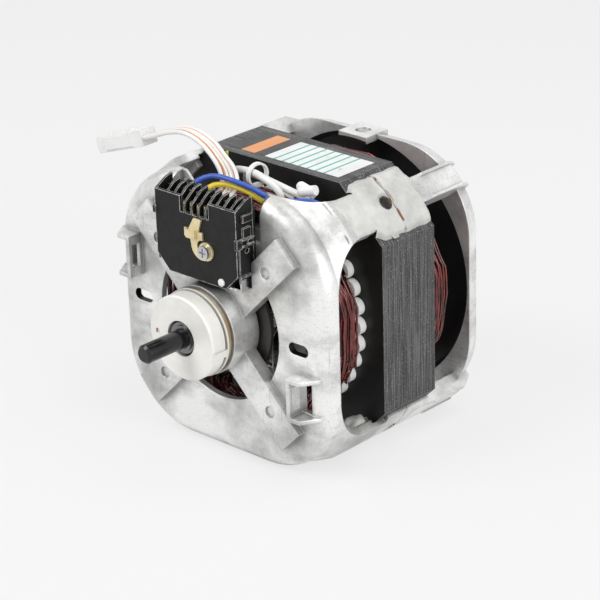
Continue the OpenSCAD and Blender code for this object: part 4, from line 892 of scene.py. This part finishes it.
SWITCH_HALF, SWITCH_FRONT = 27.0, -13.0
LEDGE_SINK, LEDGE_EASE = 0.4, 0.35
# Reach along the shaft, height, and how far each stands out of the side
SIDE_LEDGES = [
    ((-9.5, -2.5), (60.6, 64.6), 1.3),
    ((-12.2, -1.5), (51.6, 52.8), 1.1),
    ((-12.2, -1.5), (48.4, 49.6), 1.1),
    ((-6.0, -2.0), (49.2, 52.0), 0.7),
    ((-11.5, -2.5), (33.0, 34.2), 1.0),
    ((-11.9, -10.9), (30.5, 48.8), 0.7),
]
# Reach across and height of the snaps at the front edges
FRONT_SNAPS = [((26.0, 28.2), (48.0, 53.4)), ((-28.4, -26.2), (54.4, 58.8))]
SNAP_Y = (SWITCH_FRONT - 0.8, SWITCH_FRONT + 3.2)


def corner_signs(axis, sign, beside, across):
    """The signs of a corner, given along an axis and the two axes after it."""
    signs = [0, 0, 0]
    for step, value in enumerate((sign, beside, across)):
        signs[(axis + step) % 3] = value
    return tuple(signs)


def eased_block(low, high, verts, faces):
    """A block with every edge cut off at a slant, so that it reads as moulded."""
    middle, reach = (low + high) / 2, (high - low) / 2
    corners = {}
    for signs in itertools.product((-1, 1), repeat=3):
        for axis in range(3):
            inset = [0 if a == axis else LEDGE_EASE for a in range(3)]
            corners[signs, axis] = len(verts)
            verts.append(middle + Vector([c * (r - i) for c, r, i in zip(signs, reach, inset)]))
    rings = []
    for axis, sign in itertools.product(range(3), (-1, 1)):
        rings.append([corners[corner_signs(axis, sign, *at), axis] for at in SQUARE])
        after = (axis + 1) % 3
        for beside in (-1, 1):
            one, two = corner_signs(axis, sign, beside, -1), corner_signs(axis, sign, beside, 1)
            rings.append([corners[one, axis], corners[two, axis], corners[two, after], corners[one, after]])
    for signs in itertools.product((-1, 1), repeat=3):
        rings.append([corners[signs, axis] for axis in range(3)])
    for ring in rings:
        first, second, third = (verts[i] for i in ring[:3])
        outward = (second - first).cross(third - first).dot(first - middle) > 0
        faces.append(tuple(ring if outward else reversed(ring)))


def make_ledges():
    verts, faces = [], []
    for side in (-1, 1):
        for (y0, y1), (z0, z1), proud in SIDE_LEDGES:
            x0, x1 = sorted((side * (SWITCH_HALF - LEDGE_SINK), side * (SWITCH_HALF + proud)))
            eased_block(Vector((x0, y0, z0)), Vector((x1, y1, z1)), verts, faces)
    for (x0, x1), (z0, z1) in FRONT_SNAPS:
        eased_block(Vector((x0, SNAP_Y[0], z0)), Vector((x1, SNAP_Y[1], z1)), verts, faces)
    mesh_piece("switch_ledges", verts, faces, [PHENOLIC], smooth=False)


make_ledges()

# Floor and light, in metres

FLOOR_Z, FLOOR_HALF = -0.0702, 6.0
FLOOR_TONE, FLOOR_GLOW, FLOOR_SHARE = 0.7, 0.99, 0.72
WORLD_LIGHT, WORLD_SEEN = 0.42, 0.88
LAMP_AIM = Vector((0, 0.05, 0))
# Name, place, size and power
LAMPS = [
    ("key", Vector((-0.5, -1.0, 1.2)), (0.9, 0.8), 12),
    ("top", Vector((0.35, 0.25, 1.4)), (1.0, 0.9), 6.2),
    ("side", Vector((1.4, -0.2, 0.6)), (0.7, 0.8), 9),
]


def seen_ray(tree):
    """1 for rays that the camera sees straight, in a gloss or through glass."""
    path = tree.nodes.new("ShaderNodeLightPath")
    value = path.outputs["Is Camera Ray"]
    for kind in ("Is Glossy Ray", "Is Transmission Ray"):
        either = tree.nodes.new("ShaderNodeMath")
        either.operation = "MAXIMUM"
        tree.links.new(value, either.inputs[0])
        tree.links.new(path.outputs[kind], either.inputs[1])
        value = either.outputs[0]
    return value


def make_stage():
    mesh = bpy.data.meshes.new("floor")
    mesh.from_pydata([(x * FLOOR_HALF, y * FLOOR_HALF, FLOOR_Z) for x, y in SQUARE], [], [(0, 1, 2, 3)])
    floor = bpy.data.objects.new("floor", mesh)
    scene.collection.objects.link(floor)
    mat = bpy.data.materials.new("pale_floor")
    mat.use_nodes = True
    tree = mat.node_tree
    tree.nodes.clear()
    out = tree.nodes.new("ShaderNodeOutputMaterial")
    diffuse = tree.nodes.new("ShaderNodeBsdfDiffuse")
    diffuse.inputs["Color"].default_value = (FLOOR_TONE, FLOOR_TONE, FLOOR_TONE, 1)
    glow = tree.nodes.new("ShaderNodeEmission")
    glow.inputs["Color"].default_value = (FLOOR_GLOW, FLOOR_GLOW, FLOOR_GLOW, 1)
    share = tree.nodes.new("ShaderNodeMath")
    share.operation = "MULTIPLY"
    share.inputs[1].default_value = FLOOR_SHARE
    tree.links.new(seen_ray(tree), share.inputs[0])
    mix = tree.nodes.new("ShaderNodeMixShader")
    tree.links.new(share.outputs[0], mix.inputs[0])
    tree.links.new(diffuse.outputs[0], mix.inputs[1])
    tree.links.new(glow.outputs[0], mix.inputs[2])
    tree.links.new(mix.outputs[0], out.inputs["Surface"])
    mesh.materials.append(mat)


def make_lamp(name, at, size, power):
    data = bpy.data.lights.new(name, "AREA")
    data.shape = "RECTANGLE"
    data.size, data.size_y = size
    data.energy = power
    lamp = bpy.data.objects.new(name, data)
    lamp.location = at
    lamp.rotation_mode = "QUATERNION"
    lamp.rotation_quaternion = (LAMP_AIM - at).to_track_quat("-Z", "Y")
    scene.collection.objects.link(lamp)


def make_world():
    world = bpy.data.worlds.new("studio")
    world.use_nodes = True
    tree = world.node_tree
    back = tree.nodes["Background"]
    back.inputs["Color"].default_value = (1, 1, 1, 1)
    strength = tree.nodes.new("ShaderNodeMapRange")
    strength.inputs["To Min"].default_value = WORLD_LIGHT
    strength.inputs["To Max"].default_value = WORLD_SEEN
    tree.links.new(seen_ray(tree), strength.inputs["Value"])
    tree.links.new(strength.outputs["Result"], back.inputs["Strength"])
    scene.world = world


make_stage()
make_world()
for row in LAMPS:
    make_lamp(*row)
